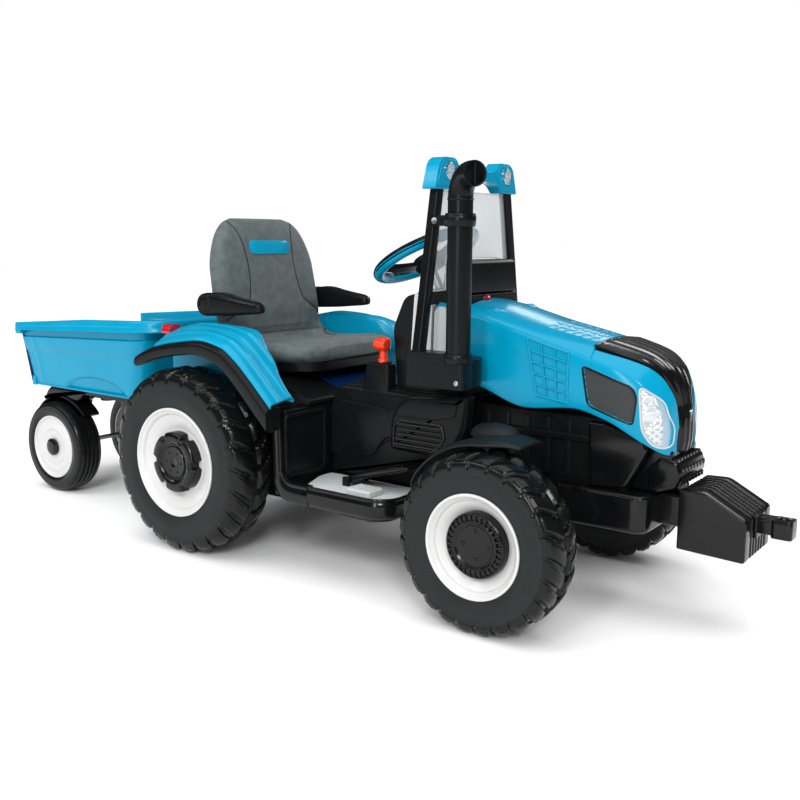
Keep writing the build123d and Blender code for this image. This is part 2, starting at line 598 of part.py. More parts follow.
tub = tub_solid(0, 0) - tub_solid(WALL, WALL)
lip_side = side_plate([(TAIL_X, 406), (-176, 430), (-176, 457), (-420, 447), (TAIL_X, 426)],
                      -201.5, 201.5)
lip_side -= plan_plate([(TAIL_X - 20, -184), (-212, -187), (-212, 187), (TAIL_X - 20, 184)],
                       380, 480)
above = side_plate([(TAIL_X - 20, 425), (-160, 456), (-160, 520), (TAIL_X - 20, 520)], -220, 220)
tub = (tub - above) + lip_side
tub -= box(TAIL_X - 10, -672, -184, 184, 265, 412)
export("trailer_tub", tub)

GATE_PIN_R = 4.0
GATE_X = -678.0
GATE_Z = 262.0
tub_plate = box(-672, -270, -128, 128, 250, TUB_FLOOR)
tub_plate -= box(-668, -274, -124, 124, 246, 264)
trailer_frame = tub_plate
for side in (-1, 1):
    trailer_frame += side_plate([(-640, 266), (-640, 100), (-600, 100), (-560, 266)],
                                *sorted((side * 70, side * 84)))
    arch = cylinder_y(TRAILER_R + 14, TRAILER_X, TRAILER_R, side * 84, side * 132)
    arch -= cylinder_y(TRAILER_R + 10, TRAILER_X, TRAILER_R, side * 80, side * 136)
    arch &= box(-720, -520, -170, 170, 196, 256)
    trailer_frame += arch
    ear = box(GATE_X - 7, -664, *sorted((side * 100, side * 112)), GATE_Z - 8, GATE_Z + 6)
    trailer_frame += ear
drawbar = side_plate([(-330, 264), (-330, 240), (-226, 210 + GAP), (HITCH_X + 15, 210 + GAP),
                      (HITCH_X + 15, 222), (-222, 222), (-270, 264)], -16, 16)
trailer_frame += drawbar
trailer_frame -= cylinder_z(HITCH_PIN_R + RUN_FIT, HITCH_X, 0, 180, 260)
trailer_frame -= cylinder_y(TRAILER_AXLE_R, TRAILER_X, TRAILER_R, -100, 100)
trailer_frame -= cylinder_y(GATE_PIN_R + RUN_FIT, GATE_X, GATE_Z, -116, 116)
export("trailer_chassis", trailer_frame)

gate_leaf = side_plate([(-682.5, 272), (-689, 404), (-681, 404), (-674.5, 272)], -182, 182)
LUG_R = 4.5
gate_leaf &= front_plate([(-164, 268), (-182, 404), (182, 404), (164, 268)], -700, -660)
tailgate = gate_leaf
tailgate += [box(-686, -680, s - 20, s + 20, 398, 405.5) for s in (-150, 150)]
for side in (-1, 1):
    lug = box(GATE_X - LUG_R, GATE_X + LUG_R, *sorted((side * 88, side * 99.5)), GATE_Z, 276)
    lug += cylinder_y(LUG_R, GATE_X, GATE_Z, side * 88, side * 99.5)
    tailgate += lug + cylinder_y(GATE_PIN_R, GATE_X, GATE_Z, side * 88, side * 115)
export("tailgate", tailgate)

pin = cylinder_z(HITCH_PIN_R, HITCH_X, 0, 188, 224) + cylinder_z(12, HITCH_X, 0, 222.0, 230)
export("hitch_pin", pin)
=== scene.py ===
import bmesh
import bpy
import json
import math
import numpy as np
from mathutils import Matrix, Vector

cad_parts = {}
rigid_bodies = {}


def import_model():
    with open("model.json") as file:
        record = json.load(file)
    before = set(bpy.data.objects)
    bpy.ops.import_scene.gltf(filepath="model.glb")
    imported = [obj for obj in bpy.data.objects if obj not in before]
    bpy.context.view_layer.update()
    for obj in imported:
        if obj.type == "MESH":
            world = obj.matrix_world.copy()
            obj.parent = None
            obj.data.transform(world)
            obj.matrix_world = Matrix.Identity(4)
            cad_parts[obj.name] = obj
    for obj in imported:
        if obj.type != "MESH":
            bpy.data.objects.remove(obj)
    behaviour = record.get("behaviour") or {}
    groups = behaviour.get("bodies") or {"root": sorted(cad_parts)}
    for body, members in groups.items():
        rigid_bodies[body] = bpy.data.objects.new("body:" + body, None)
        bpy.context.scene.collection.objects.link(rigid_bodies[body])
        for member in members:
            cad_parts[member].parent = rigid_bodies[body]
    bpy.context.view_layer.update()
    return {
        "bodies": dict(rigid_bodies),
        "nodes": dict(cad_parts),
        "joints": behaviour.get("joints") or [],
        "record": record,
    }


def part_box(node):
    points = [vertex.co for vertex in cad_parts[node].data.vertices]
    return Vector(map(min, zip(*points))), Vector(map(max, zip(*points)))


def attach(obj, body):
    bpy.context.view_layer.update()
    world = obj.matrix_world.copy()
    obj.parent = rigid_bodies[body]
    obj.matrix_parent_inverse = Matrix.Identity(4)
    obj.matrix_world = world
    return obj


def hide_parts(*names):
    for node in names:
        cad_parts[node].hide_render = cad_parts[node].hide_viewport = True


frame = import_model()
print("frame loaded:", len(frame["nodes"]), "nodes")

# Lengths below are millimetres from the ground under the rear axle: x forward, y to the
# driver's left, z up. The rear axle's joint says where that is in the frame.
jointPlace = {j["name"]: np.array(j["pos_m"]) * 1000 for j in frame["joints"] if "pos_m" in j}
axleX = jointPlace["rear_roll_right"][0]
origin = np.array([axleX, 0.0, 0.0])


def boxOf(node):
    # lowest and highest corner of a CAD node, in this script's millimetres
    low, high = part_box(node)
    return np.array(low) * 1000 - origin, np.array(high) * 1000 - origin


# Every surface below is a grid of points, worked out as whole arrays.

def gridFaces(rows, columns, wrapRows=False, wrapColumns=False):
    # one quad between each point and its next row and column
    row = np.arange(rows if wrapRows else rows - 1)[:, None]
    column = np.arange(columns if wrapColumns else columns - 1)[None, :]
    nextRow = (row + 1) % rows
    nextColumn = (column + 1) % columns
    corners = [row * columns + column, nextRow * columns + column,
               nextRow * columns + nextColumn, row * columns + nextColumn]
    return np.stack(np.broadcast_arrays(*corners), axis=-1).reshape(-1, 4)


def patch(points, wrapRows=False, wrapColumns=False, capEnds=False, finish=0):
    # a grid of points with its faces; capEnds closes the first and last row with one face each
    rows, columns = points.shape[:2]
    faces = gridFaces(rows, columns, wrapRows, wrapColumns).tolist()
    if capEnds:
        faces.append(list(range(columns)))
        faces.append(list(range((rows - 1) * columns, rows * columns)))
    return points.reshape(-1, 3), faces, finish


def makePiece(name, patches, finishes, body="tractor", stands=(),
              bevel=0.0, solid=0.0, sharpAngle=32.0, bevelSteps=3):
    # joins patches into one mesh, merges doubles and hangs it on its body; closed shapes have
    # their faces turned outwards here, open shells (solid) come with theirs already right
    points, faces, which = [], [], []
    start = 0
    for patchPoints, patchFaces, finish in patches:
        points.append(patchPoints)
        faces.extend([[i + start for i in face] for face in patchFaces])
        which.extend([finish] * len(patchFaces))
        start += len(patchPoints)
    mesh = bpy.data.meshes.new(name)
    mesh.from_pydata(((np.concatenate(points) + origin) / 1000).tolist(), [], faces)
    mesh.polygons.foreach_set("material_index", which)
    work = bmesh.new()
    work.from_mesh(mesh)
    bmesh.ops.remove_doubles(work, verts=work.verts, dist=0.00004)
    bmesh.ops.dissolve_degenerate(work, edges=work.edges, dist=0.00001)
    if not solid:
        bmesh.ops.recalc_face_normals(work, faces=work.faces)
    work.to_mesh(mesh)
    work.free()
    for finish in finishes:
        mesh.materials.append(finish)
    mesh.polygons.foreach_set("use_smooth", [True] * len(mesh.polygons))
    if not bevel:
        mesh.set_sharp_from_angle(angle=math.radians(sharpAngle))
    piece = bpy.data.objects.new(name, mesh)
    bpy.context.scene.collection.objects.link(piece)
    if solid:
        wall = piece.modifiers.new("wall", "SOLIDIFY")
        wall.thickness = solid / 1000
        wall.offset = -1
    if bevel:
        edge = piece.modifiers.new("edge", "BEVEL")
        edge.width = bevel / 1000
        edge.segments = bevelSteps
        edge.limit_method = "ANGLE"
        edge.angle_limit = math.radians(sharpAngle)
        edge.use_clamp_overlap = True
        edge.harden_normals = True
    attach(piece, body)
    if stands:
        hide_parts(*stands)
    return piece


def stack3(x, y, z):
    return np.stack(np.broadcast_arrays(x, y, z), axis=-1).astype(float)


def smoothStep(value, low, high):
    # 0 below low, 1 above high, 3t^2 - 2t^3 between
    t = np.clip((value - low) / (high - low), 0, 1)
    return t * t * (3 - 2 * t)


def through(x, knots, values):
    # cubic Hermite curve through the knots, its slopes limited so that it never overshoots
    knots, values = np.asarray(knots, float), np.asarray(values, float)
    step = np.diff(values) / np.diff(knots)
    slope = np.zeros(len(values))
    same = step[1:] * step[:-1] > 0
    slope[1:-1] = np.where(same, 2 * step[1:] * step[:-1] / np.where(same, step[1:] + step[:-1], 1), 0)
    slope[0], slope[-1] = step[0], step[-1]
    x = np.clip(x, knots[0], knots[-1])
    i = np.clip(np.searchsorted(knots, x) - 1, 0, len(knots) - 2)
    width = knots[i + 1] - knots[i]
    t = (x - knots[i]) / width
    return (values[i] * (1 + 2 * t) * (1 - t) ** 2 + slope[i] * width * t * (1 - t) ** 2
            + values[i + 1] * t * t * (3 - 2 * t) + slope[i + 1] * width * t * t * (t - 1))


def roundedLoop(corners, radius, steps=5, closed=True):
    # every corner becomes the curve (1-t)^2 A + 2t(1-t) C + t^2 B, A and B lying radius from it
    corners = np.asarray(corners, float)
    before = np.roll(corners, 1, axis=0) - corners
    after = np.roll(corners, -1, axis=0) - corners
    longBefore = np.linalg.norm(before, axis=1, keepdims=True)
    longAfter = np.linalg.norm(after, axis=1, keepdims=True)
    radius = np.broadcast_to(np.asarray(radius, float), len(corners))[:, None]
    a = corners + before / longBefore * np.minimum(radius, longBefore * 0.48)
    b = corners + after / longAfter * np.minimum(radius, longAfter * 0.48)
    t = np.linspace(0, 1, steps)[None, :, None]
    arcs = ((1 - t) ** 2 * a[:, None] + 2 * t * (1 - t) * corners[:, None] + t * t * b[:, None])
    if not closed:
        arcs[0], arcs[-1] = corners[0], corners[-1]
    return arcs.reshape(-1, corners.shape[1])


def alongLoop(points, count, closed=False):
    # the same line at count points, evenly spaced by length
    points = np.asarray(points, float)
    if closed:
        points = np.vstack([points, points[:1]])
    run = np.concatenate([[0], np.cumsum(np.linalg.norm(np.diff(points, axis=0), axis=1))])
    at = np.linspace(0, run[-1], count + 1)[:-1] if closed else np.linspace(0, run[-1], count)
    return np.stack([np.interp(at, run, points[:, k]) for k in range(points.shape[1])], axis=-1)


def slab(outline, low, high, axis="y", finish=0, taper=0.0):
    # an outline of two coordinates carried straight from low to high along the third one
    outline = np.asarray(outline, float)
    middle = outline.mean(axis=0)
    rows = []
    for level, scale in ((low, 1.0), (high, 1.0 - taper)):
        a, b = (middle + (outline - middle) * scale).T
        rows.append({"x": stack3(level, a, b), "y": stack3(a, level, b), "z": stack3(a, b, level)}[axis])
    return patch(np.stack(rows), wrapColumns=True, capEnds=True, finish=finish)


def block(low, high, finish=0):
    # a box between two corners, its edges left to the Bevel modifier
    outline = [(low[0], low[1]), (high[0], low[1]), (high[0], high[1]), (low[0], high[1])]
    return slab(outline, low[2], high[2], "z", finish)


def turnedAboutY(profile, centre, steps):
    # a profile of (y, r) pairs turned about the line along y through centre (x, z)
    profile = np.asarray(profile, float)
    angle = np.linspace(0, 2 * math.pi, steps, endpoint=False)[:, None]
    y, r = profile[None, :, 0], profile[None, :, 1]
    points = stack3(centre[0] + r * np.cos(angle), y, centre[1] + r * np.sin(angle))
    return patch(points, wrapRows=True)


def tube(path, radius, sides=16, closed=False, finish=0, capEnds=True):
    # a circle carried along a path, its frame set square to one fixed guide direction at every point
    path = np.asarray(path, float)
    ahead = np.roll(path, -1, 0) - np.roll(path, 1, 0) if closed else np.gradient(path, axis=0)
    ahead /= np.linalg.norm(ahead, axis=1, keepdims=True)
    guide = np.array([0.0, 0.0, 1.0]) if abs(ahead[:, 2]).max() < 0.9 else np.array([0.31, 0.95, 0.05])
    side = np.cross(ahead, guide)
    side /= np.linalg.norm(side, axis=1, keepdims=True)
    up = np.cross(side, ahead)
    radius = np.broadcast_to(np.asarray(radius, float), len(path))[:, None, None]
    angle = np.linspace(0, 2 * math.pi, sides, endpoint=False)[None, :, None]
    points = path[:, None] + radius * (np.cos(angle) * side[:, None] + np.sin(angle) * up[:, None])
    return patch(points, wrapRows=closed, wrapColumns=True, capEnds=capEnds and not closed, finish=finish)


def ball(centre, radii, rings=14, sides=24, finish=0):
    # an ellipsoid: cos and sin of latitude and longitude times its three radii
    latitude = np.linspace(-math.pi / 2, math.pi / 2, rings)[:, None]
    longitude = np.linspace(0, 2 * math.pi, sides, endpoint=False)[None, :]
    points = stack3(centre[0] + radii[0] * np.cos(latitude) * np.cos(longitude),
                    centre[1] + radii[1] * np.cos(latitude) * np.sin(longitude),
                    centre[2] + radii[2] * np.sin(latitude) + 0 * longitude)
    return patch(points, wrapColumns=True, finish=finish)


def disc(centre, radius, depth, axis="y", sides=24, finish=0, dome=0.0):
    # a round button, its face domed by a cosine, facing along an axis; depth may be negative
    rings = np.array([[0, 1.0], [1, 1.0], [1, 0.94], [1, 0.6], [1, 0.3], [1, 0.0]])
    share = np.array([0, 0.82, 1.0, 1.0, 1.0, 1.0])
    rise = share * depth + dome * np.cos(rings[:, 1] * math.pi / 2) * rings[:, 0]
    angle = np.linspace(0, 2 * math.pi, sides, endpoint=False)[None, :]
    a = radius * rings[:, 1:] * np.cos(angle)
    b = radius * rings[:, 1:] * np.sin(angle)
    c = rise[:, None] + 0 * angle
    order = {"x": (c, a, b), "y": (a, c, b), "z": (a, b, c)}[axis]
    return patch(np.asarray(centre) + stack3(*order), wrapColumns=True, capEnds=True, finish=finish)


def mirrorPatch(item):
    # the same patch on the other side of the middle plane
    points, faces, finish = item
    return points * np.array([1, -1, 1]), [face[::-1] for face in faces], finish


def bothSides(parts):
    return parts + [mirrorPatch(part) for part in parts]


# Shared effects are node groups; each material keeps its own shader.

def newGroup(name, inputs, outputs):
    group = bpy.data.node_groups.new(name, "ShaderNodeTree")
    for label, default in inputs:
        socket = group.interface.new_socket(label, in_out="INPUT", socket_type="NodeSocketFloat")
        socket.default_value = default
    for label in outputs:
        group.interface.new_socket(label, in_out="OUTPUT", socket_type="NodeSocketFloat")
    return group, group.nodes.new("NodeGroupInput"), group.nodes.new("NodeGroupOutput")


def mathNode(tree, kind, a, b=None, clamp=False):
    # one Math node; a and b are sockets or plain numbers
    node = tree.nodes.new("ShaderNodeMath")
    node.operation = kind
    node.use_clamp = clamp
    for socket, value in zip(node.inputs, (a, b)):
        if isinstance(value, bpy.types.NodeSocket):
            tree.links.new(value, socket)
        elif value is not None:
            socket.default_value = value
    return node.outputs[0]


def noiseNode(tree, vector, scale, detail=3.0, stretch=None):
    # a noise texture on Object coordinates, squeezed by stretch through a Mapping node
    node = tree.nodes.new("ShaderNodeTexNoise")
    node.inputs["Detail"].default_value = detail
    if stretch is not None:
        mapping = tree.nodes.new("ShaderNodeMapping")
        mapping.inputs["Scale"].default_value = stretch
        tree.links.new(vector, mapping.inputs["Vector"])
        vector = mapping.outputs["Vector"]
    tree.links.new(vector, node.inputs["Vector"])
    if isinstance(scale, bpy.types.NodeSocket):
        tree.links.new(scale, node.inputs["Scale"])
    else:
        node.inputs["Scale"].default_value = scale
    return node.outputs["Fac"]


def rampNode(tree, value, low, high):
    node = tree.nodes.new("ShaderNodeMapRange")
    node.interpolation_type = "SMOOTHSTEP"
    tree.links.new(value, node.inputs["Value"])
    node.inputs["From Min"].default_value = low
    node.inputs["From Max"].default_value = high
    return node.outputs["Result"]


def makeGrainGroup():
    # moulded grain: fine cells and noise make a height, slow noise a patchiness from 0 to 1
    group, take, give = newGroup("mouldGrain", [("Scale", 900.0), ("Patch Scale", 9.0)],
                                 ["Height", "Patch"])
    place = group.nodes.new("ShaderNodeTexCoord").outputs["Object"]
    cells = group.nodes.new("ShaderNodeTexVoronoi")
    group.links.new(place, cells.inputs["Vector"])
    group.links.new(take.outputs["Scale"], cells.inputs["Scale"])
    fine = noiseNode(group, place, take.outputs["Scale"], 2.0)
    mix = mathNode(group, "ADD", mathNode(group, "MULTIPLY", cells.outputs["Distance"], 0.6), fine)
    group.links.new(mix, give.inputs["Height"])
    group.links.new(rampNode(group, noiseNode(group, place, take.outputs["Patch Scale"], 4.0), 0.3, 0.7),
                    give.inputs["Patch"])
    return group


def makeWearGroup():
    # edge wear: how sharply the surface bends outwards, broken up by noise
    group, take, give = newGroup("edgeWear", [("Amount", 0.5), ("Breakup", 60.0)], ["Mask"])
    shape = group.nodes.new("ShaderNodeNewGeometry")
    place = group.nodes.new("ShaderNodeTexCoord").outputs["Object"]
    sharp = rampNode(group, shape.outputs["Pointiness"], 0.53, 0.62)
    broken = rampNode(group, noiseNode(group, place, take.outputs["Breakup"], 5.0), 0.42, 0.62)
    group.links.new(mathNode(group, "MULTIPLY", mathNode(group, "MULTIPLY", sharp, broken),
                             take.outputs["Amount"], True), give.inputs["Mask"])
    return group


def makeDustGroup():
    # dust: settles on faces that look up, thicker near the ground and in soft blotches
    group, take, give = newGroup("floorDust", [("Amount", 0.3), ("Reach", 0.25)], ["Mask"])
    place = group.nodes.new("ShaderNodeTexCoord").outputs["Object"]
    split = group.nodes.new("ShaderNodeSeparateXYZ")
    group.links.new(place, split.inputs[0])
    facing = group.nodes.new("ShaderNodeSeparateXYZ")
    group.links.new(group.nodes.new("ShaderNodeNewGeometry").outputs["Normal"], facing.inputs[0])
    up = mathNode(group, "MULTIPLY", rampNode(group, facing.outputs["Z"], 0.4, 1.0), 0.35)
    low = mathNode(group, "SUBTRACT", 1.0, mathNode(group, "DIVIDE", split.outputs["Z"],
                                                    take.outputs["Reach"]), True)
    blotch = rampNode(group, noiseNode(group, place, 23.0, 6.0), 0.35, 0.75)
    both = mathNode(group, "MULTIPLY", mathNode(group, "ADD", up, low, True), blotch)
    group.links.new(mathNode(group, "MULTIPLY", both, take.outputs["Amount"], True), give.inputs["Mask"])
    return group


def makeScratchGroup():
    # hairline scratches: two noises pulled long and thin in different directions
    group, take, give = newGroup("hairScratches", [("Amount", 0.5), ("Scale", 14.0)], ["Mask"])
    place = group.nodes.new("ShaderNodeTexCoord").outputs["Object"]
    first = rampNode(group, noiseNode(group, place, take.outputs["Scale"], 2.0, (1.2, 22.0, 26.0)), 0.66,
                     0.72)
    second = rampNode(group, noiseNode(group, place, take.outputs["Scale"], 2.0, (19.0, 21.0, 1.4)), 0.68,
                      0.74)
    both = mathNode(group, "ADD", first, second, True)
    group.links.new(mathNode(group, "MULTIPLY", both, take.outputs["Amount"]), give.inputs["Mask"])
    return group


grainGroup = makeGrainGroup()
wearGroup = makeWearGroup()
dustGroup = makeDustGroup()
scratchGroup = makeScratchGroup()


def placeGroup(tree, group, values):
    node = tree.nodes.new("ShaderNodeGroup")
    node.node_tree = group
    for label, value in values.items():
        node.inputs[label].default_value = value
    return node


def mixColour(tree, mask, first, second):
    node = tree.nodes.new("ShaderNodeMix")
    node.data_type = "RGBA"
    tree.links.new(mask, node.inputs["Factor"])
    for socket, value in ((node.inputs["A"], first), (node.inputs["B"], second)):
        if isinstance(value, bpy.types.NodeSocket):
            tree.links.new(value, socket)
        else:
            socket.default_value = (*value, 1.0)
    return node.outputs["Result"]


def makeFinish(name, colour, patchColour, rough, roughPatch, grain, grainDepth, worn=None, wear=0.4,
               dust=0.1, scratch=0.15, metal=0.0, coat=0.0, coatRough=0.05, alpha=1.0,
               ior=1.45, sheen=0.0, patchScale=9.0):
    # a finish: patchy base colour, worn edges, dust and scratches over one Principled shader
    material = bpy.data.materials.new(name)
    material.use_nodes = True
    tree = material.node_tree
    shader = tree.nodes["Principled BSDF"]
    grainNode = placeGroup(tree, grainGroup, {"Scale": grain, "Patch Scale": patchScale})
    wearNode = placeGroup(tree, wearGroup, {"Amount": wear})
    dustNode = placeGroup(tree, dustGroup, {"Amount": dust})
    scratchNode = placeGroup(tree, scratchGroup, {"Amount": scratch})
    patchMask = grainNode.outputs["Patch"]
    base = mixColour(tree, patchMask, colour, patchColour)
    lighter = worn if worn else tuple(min(1.0, c * 1.6 + 0.05) for c in colour)
    base = mixColour(tree, wearNode.outputs["Mask"], base, lighter)
    base = mixColour(tree, dustNode.outputs["Mask"], base, dustColour)
    tree.links.new(base, shader.inputs["Base Color"])
    roughness = mathNode(tree, "MULTIPLY_ADD", patchMask, roughPatch - rough)
    roughness.node.inputs[2].default_value = rough
    for mask, gain in ((wearNode, 0.22), (dustNode, 0.5), (scratchNode, 0.3)):
        roughness = mathNode(tree, "ADD", roughness, mathNode(tree, "MULTIPLY", mask.outputs["Mask"], gain))
    tree.links.new(mathNode(tree, "MINIMUM", roughness, 0.95), shader.inputs["Roughness"])
    height = mathNode(tree, "SUBTRACT", grainNode.outputs["Height"],
                      mathNode(tree, "MULTIPLY", scratchNode.outputs["Mask"], 0.6))
    bump = tree.nodes.new("ShaderNodeBump")
    bump.inputs["Strength"].default_value = 1.0
    bump.inputs["Distance"].default_value = grainDepth / 1000
    tree.links.new(height, bump.inputs["Height"])
    tree.links.new(bump.outputs["Normal"], shader.inputs["Normal"])
    shader.inputs["Metallic"].default_value = metal
    shader.inputs["Coat Weight"].default_value = coat
    shader.inputs["Coat Roughness"].default_value = coatRough
    shader.inputs["IOR"].default_value = ior
    shader.inputs["Alpha"].default_value = alpha
    shader.inputs["Sheen Weight"].default_value = sheen
    return material


dustColour = (0.42, 0.40, 0.37)

shellBlue = makeFinish("shellBlue", (0.0, 0.26, 0.42), (0.0, 0.28, 0.45), 0.2, 0.25, 700, 0.03,
                       worn=(0.05, 0.42, 0.62), wear=0.2, dust=0.01, scratch=0.1, coat=0.08, ior=1.3)
# the blue shell plastic darkened to navy: painted shade for the tailgate and the middle of the body under the
# seat
paintedShadeNavy = makeFinish("paintedShadeNavy", (0.0, 0.016, 0.075), (0.0, 0.020, 0.09), 0.3, 0.38, 700, 0.04,
                      wear=0.2, dust=0.02, scratch=0.1, coat=0.1, ior=1.33)
satinBlack = makeFinish("satinBlack", (0.0050, 0.0062, 0.0068), (0.0062, 0.0075, 0.0082),
                        0.26, 0.31, 620, 0.05, wear=0.12, dust=0.008, scratch=0.12, ior=1.27)
glossBlack = makeFinish("glossBlack", (0.0030, 0.0034, 0.0038), (0.0040, 0.0045, 0.0050),
                        0.16, 0.22, 800, 0.03, wear=0.12, dust=0.010, scratch=0.15, coat=0.15, ior=1.36)
dullBlack = makeFinish("dullBlack", (0.011, 0.0138, 0.0145), (0.0130, 0.0162, 0.0170),
                       0.44, 0.52, 620, 0.08, wear=0.12, dust=0.012, scratch=0.12, ior=1.3)
treadBlack = makeFinish("treadBlack", (0.0050, 0.0058, 0.0060), (0.0068, 0.0078, 0.0080),
                        0.20, 0.27, 420, 0.04, wear=0.12, dust=0.018, scratch=0.15, coat=0.12,
                        coatRough=0.08, ior=1.3)
sidewallBlack = makeFinish("sidewallBlack", (0.013, 0.0165, 0.0175), (0.0155, 0.0195, 0.0205),
                           0.46, 0.52, 520, 0.08, wear=0.15, dust=0.016, scratch=0.12, ior=1.33)
rimWhite = makeFinish("rimWhite", (0.56, 0.56, 0.555), (0.60, 0.60, 0.595), 0.36, 0.46, 700, 0.05,
                      worn=(0.6, 0.6, 0.58), wear=0.25, dust=0.056, scratch=0.2, coat=0.15)
plainGrey = makeFinish("plainGrey", (0.46, 0.49, 0.49), (0.52, 0.55, 0.55), 0.45, 0.56, 520, 0.1,
                       wear=0.3, dust=0.048, scratch=0.2)
seatVinyl = makeFinish("seatVinyl", (0.074, 0.092, 0.094), (0.102, 0.126, 0.129), 0.54, 0.64, 420, 0.5,
                       worn=(0.22, 0.24, 0.24), wear=0.3, dust=0.024, scratch=0.08, sheen=0.1,
                       patchScale=60)
seamBlack = makeFinish("seamBlack", (0.012, 0.014, 0.015), (0.018, 0.02, 0.021), 0.6, 0.7, 900, 0.1,
                       wear=0.1, dust=0.02, scratch=0.0)
lampRed = makeFinish("lampRed", (0.38, 0.006, 0.02), (0.48, 0.01, 0.03), 0.12, 0.2, 300, 0.1,
                     wear=0.2, dust=0.02, scratch=0.15, coat=0.8)
leverOrange = makeFinish("leverOrange", (0.75, 0.045, 0.008), (0.82, 0.06, 0.012), 0.28, 0.38, 700, 0.05,
                         wear=0.25, dust=0.032, scratch=0.15, coat=0.3)
drawnSteel = makeFinish("drawnSteel", (0.50, 0.51, 0.53), (0.42, 0.43, 0.45), 0.26, 0.4, 300, 0.05,
                        worn=(0.7, 0.7, 0.7), wear=0.3, dust=0.04, scratch=0.5, metal=1.0)
chromeBright = makeFinish("chromeBright", (0.82, 0.84, 0.86), (0.76, 0.78, 0.8), 0.06, 0.12, 160, 0.25,
                          wear=0.0, dust=0.008, scratch=0.05, metal=1.0)
lensClear = makeFinish("lensClear", (0.86, 0.90, 0.92), (0.80, 0.85, 0.87), 0.04, 0.1, 200, 0.08,
                       wear=0.1, dust=0.016, scratch=0.15, alpha=0.26, ior=1.5, coat=1.0, coatRough=0.02)
screenClear = makeFinish("screenClear", (0.62, 0.66, 0.68), (0.68, 0.72, 0.74), 0.1, 0.2, 300, 0.03,
                         wear=0.1, dust=0.04, scratch=0.3, alpha=0.42, ior=1.5, coat=0.6)
casingGrey = makeFinish("casingGrey", (0.05, 0.05, 0.055), (0.07, 0.07, 0.075), 0.5, 0.6, 500, 0.1,
                        wear=0.3, dust=0.12, scratch=0.2)
meshDark = makeFinish("meshDark", (0.030, 0.034, 0.034), (0.04, 0.045, 0.045), 0.55, 0.65, 480, 0.2,
                      wear=0.2, dust=0.032, scratch=0.1)

nodeFinish = {"blue_shell": shellBlue, "tyre_black": treadBlack, "white_rim": rimWhite,
              "clear_lens": lensClear, "screen_clear": screenClear, "red_lens": lampRed,
              "orange_lever": leverOrange, "seat_vinyl": seatVinyl, "light_grey": plainGrey,
              "steel": drawnSteel, "inner_casing": casingGrey, "black_plastic": satinBlack}
for part in frame["record"]["subparts"]:
    materials = frame["nodes"][part["node"]].data.materials
    materials.clear()
    materials.append(nodeFinish[part["material_slot"]])
print("finishes ready")


tractorTyre = {"lugs": 24, "lugHeight": 7.5, "lugWidth": 0.385, "slant": 0.78,
               "ridge": 2.6, "around": 640, "across": 80}


tyreCurve = {"shoulder": 0.56, "flank": 0.62, "crown": 0.72, "wallPoints": 9, "bulge": 0.03,
             "beadWide": 0.93}


def tyreSection(half, outer, bead, count):
    # a tyre's outline from bead to bead: a flat wall up to the shoulder, then a super-ellipse
    # over the crown: width = half * cos(t)^flank, radius = shoulder + rise * sin(t)^crown
    c = tyreCurve
    shoulder = bead + (outer - bead) * c["shoulder"]
    turn = np.linspace(0, math.pi, count)
    y = half * np.sign(np.cos(turn)) * np.abs(np.cos(turn)) ** c["flank"]
    r = shoulder + (outer - shoulder) * np.sin(turn) ** c["crown"]
    wall = np.linspace(0, 1, c["wallPoints"])[:-1]
    bulge = half * c["bulge"] * np.sin(wall * math.pi)
    wallY = half * (c["beadWide"] + (1 - c["beadWide"]) * np.sin(wall * math.pi / 2)) + bulge
    wallR = bead + (shoulder - bead) * wall
    return (np.concatenate([wallY, y, -wallY[::-1]]), np.concatenate([wallR, r, wallR[::-1]]))


def lugHeight(angle, across, radial, setup):
    # chevron lugs in two offset rows: a plate where the slanted phase lies near the middle of its
    # pitch, with a narrower plate on top, faded out down the side wall, and a ridge on the middle
    row = np.where(across > 0, 0.0, 0.5)
    reach = np.abs(across)
    phase = setup["lugs"] * angle / (2 * math.pi) + row - setup["slant"] * reach ** 1.15
    off = np.abs(phase - np.floor(phase) - 0.5)
    step = setup["lugWidth"] * (0.90 + 0.14 * reach)
    plate = 1 - smoothStep(off, step, step + 0.03)
    top = 1 - smoothStep(off, step * 0.58, step * 0.58 + 0.03)
    start = smoothStep(reach, 0.085, 0.11)
    end = smoothStep(radial, 0.862, 0.885)
    inner = smoothStep(reach, 0.2, 0.23) * smoothStep(radial, 0.925, 0.94)
    rails = smoothStep(reach, 0.012, 0.02) * (1 - smoothStep(reach, 0.045, 0.056))
    return setup["lugHeight"] * (0.70 * plate * start * end + 0.30 * top * inner) + setup["ridge"] * rails


def makeTractorTyre(node, body):
    # the outline turned round the axle; each point is then raised along the radius by lugHeight
    low, high = boxOf(node)
    outer = (high[2] - low[2]) / 2
    half = (high[1] - low[1]) / 2
    bead = wheelBead[node[:4]]
    setup = tractorTyre
    y, r = tyreSection(half, outer - setup["lugHeight"], bead, setup["across"])
    angle = np.linspace(0, 2 * math.pi, setup["around"], endpoint=False)[:, None]
    lift = lugHeight(angle, y[None, :] / half, r[None, :] / (outer - setup["lugHeight"]), setup)
    radius = r[None, :] + lift
    centreX, centreY, centreZ = (low + high) / 2
    points = stack3(centreX + radius * np.cos(angle), centreY + y[None, :] + 0 * radius,
                    centreZ + radius * np.sin(angle))
    item = patch(points, wrapRows=True, wrapColumns=True)
    tread = np.abs(r) > bead + (outer - bead) * 0.58
    columns = len(y)
    face = np.arange(len(item[1])) % columns
    which = np.where(tread[face] & tread[(face + 1) % columns], 0, 1)
    piece = makePiece(node.replace("_", ".") + ".lugged", [item], [treadBlack, sidewallBlack],
                      body, [node], sharpAngle=38)
    kind = np.zeros(len(piece.data.polygons), int)
    kind[:len(which)] = which
    piece.data.polygons.foreach_set("material_index", kind)


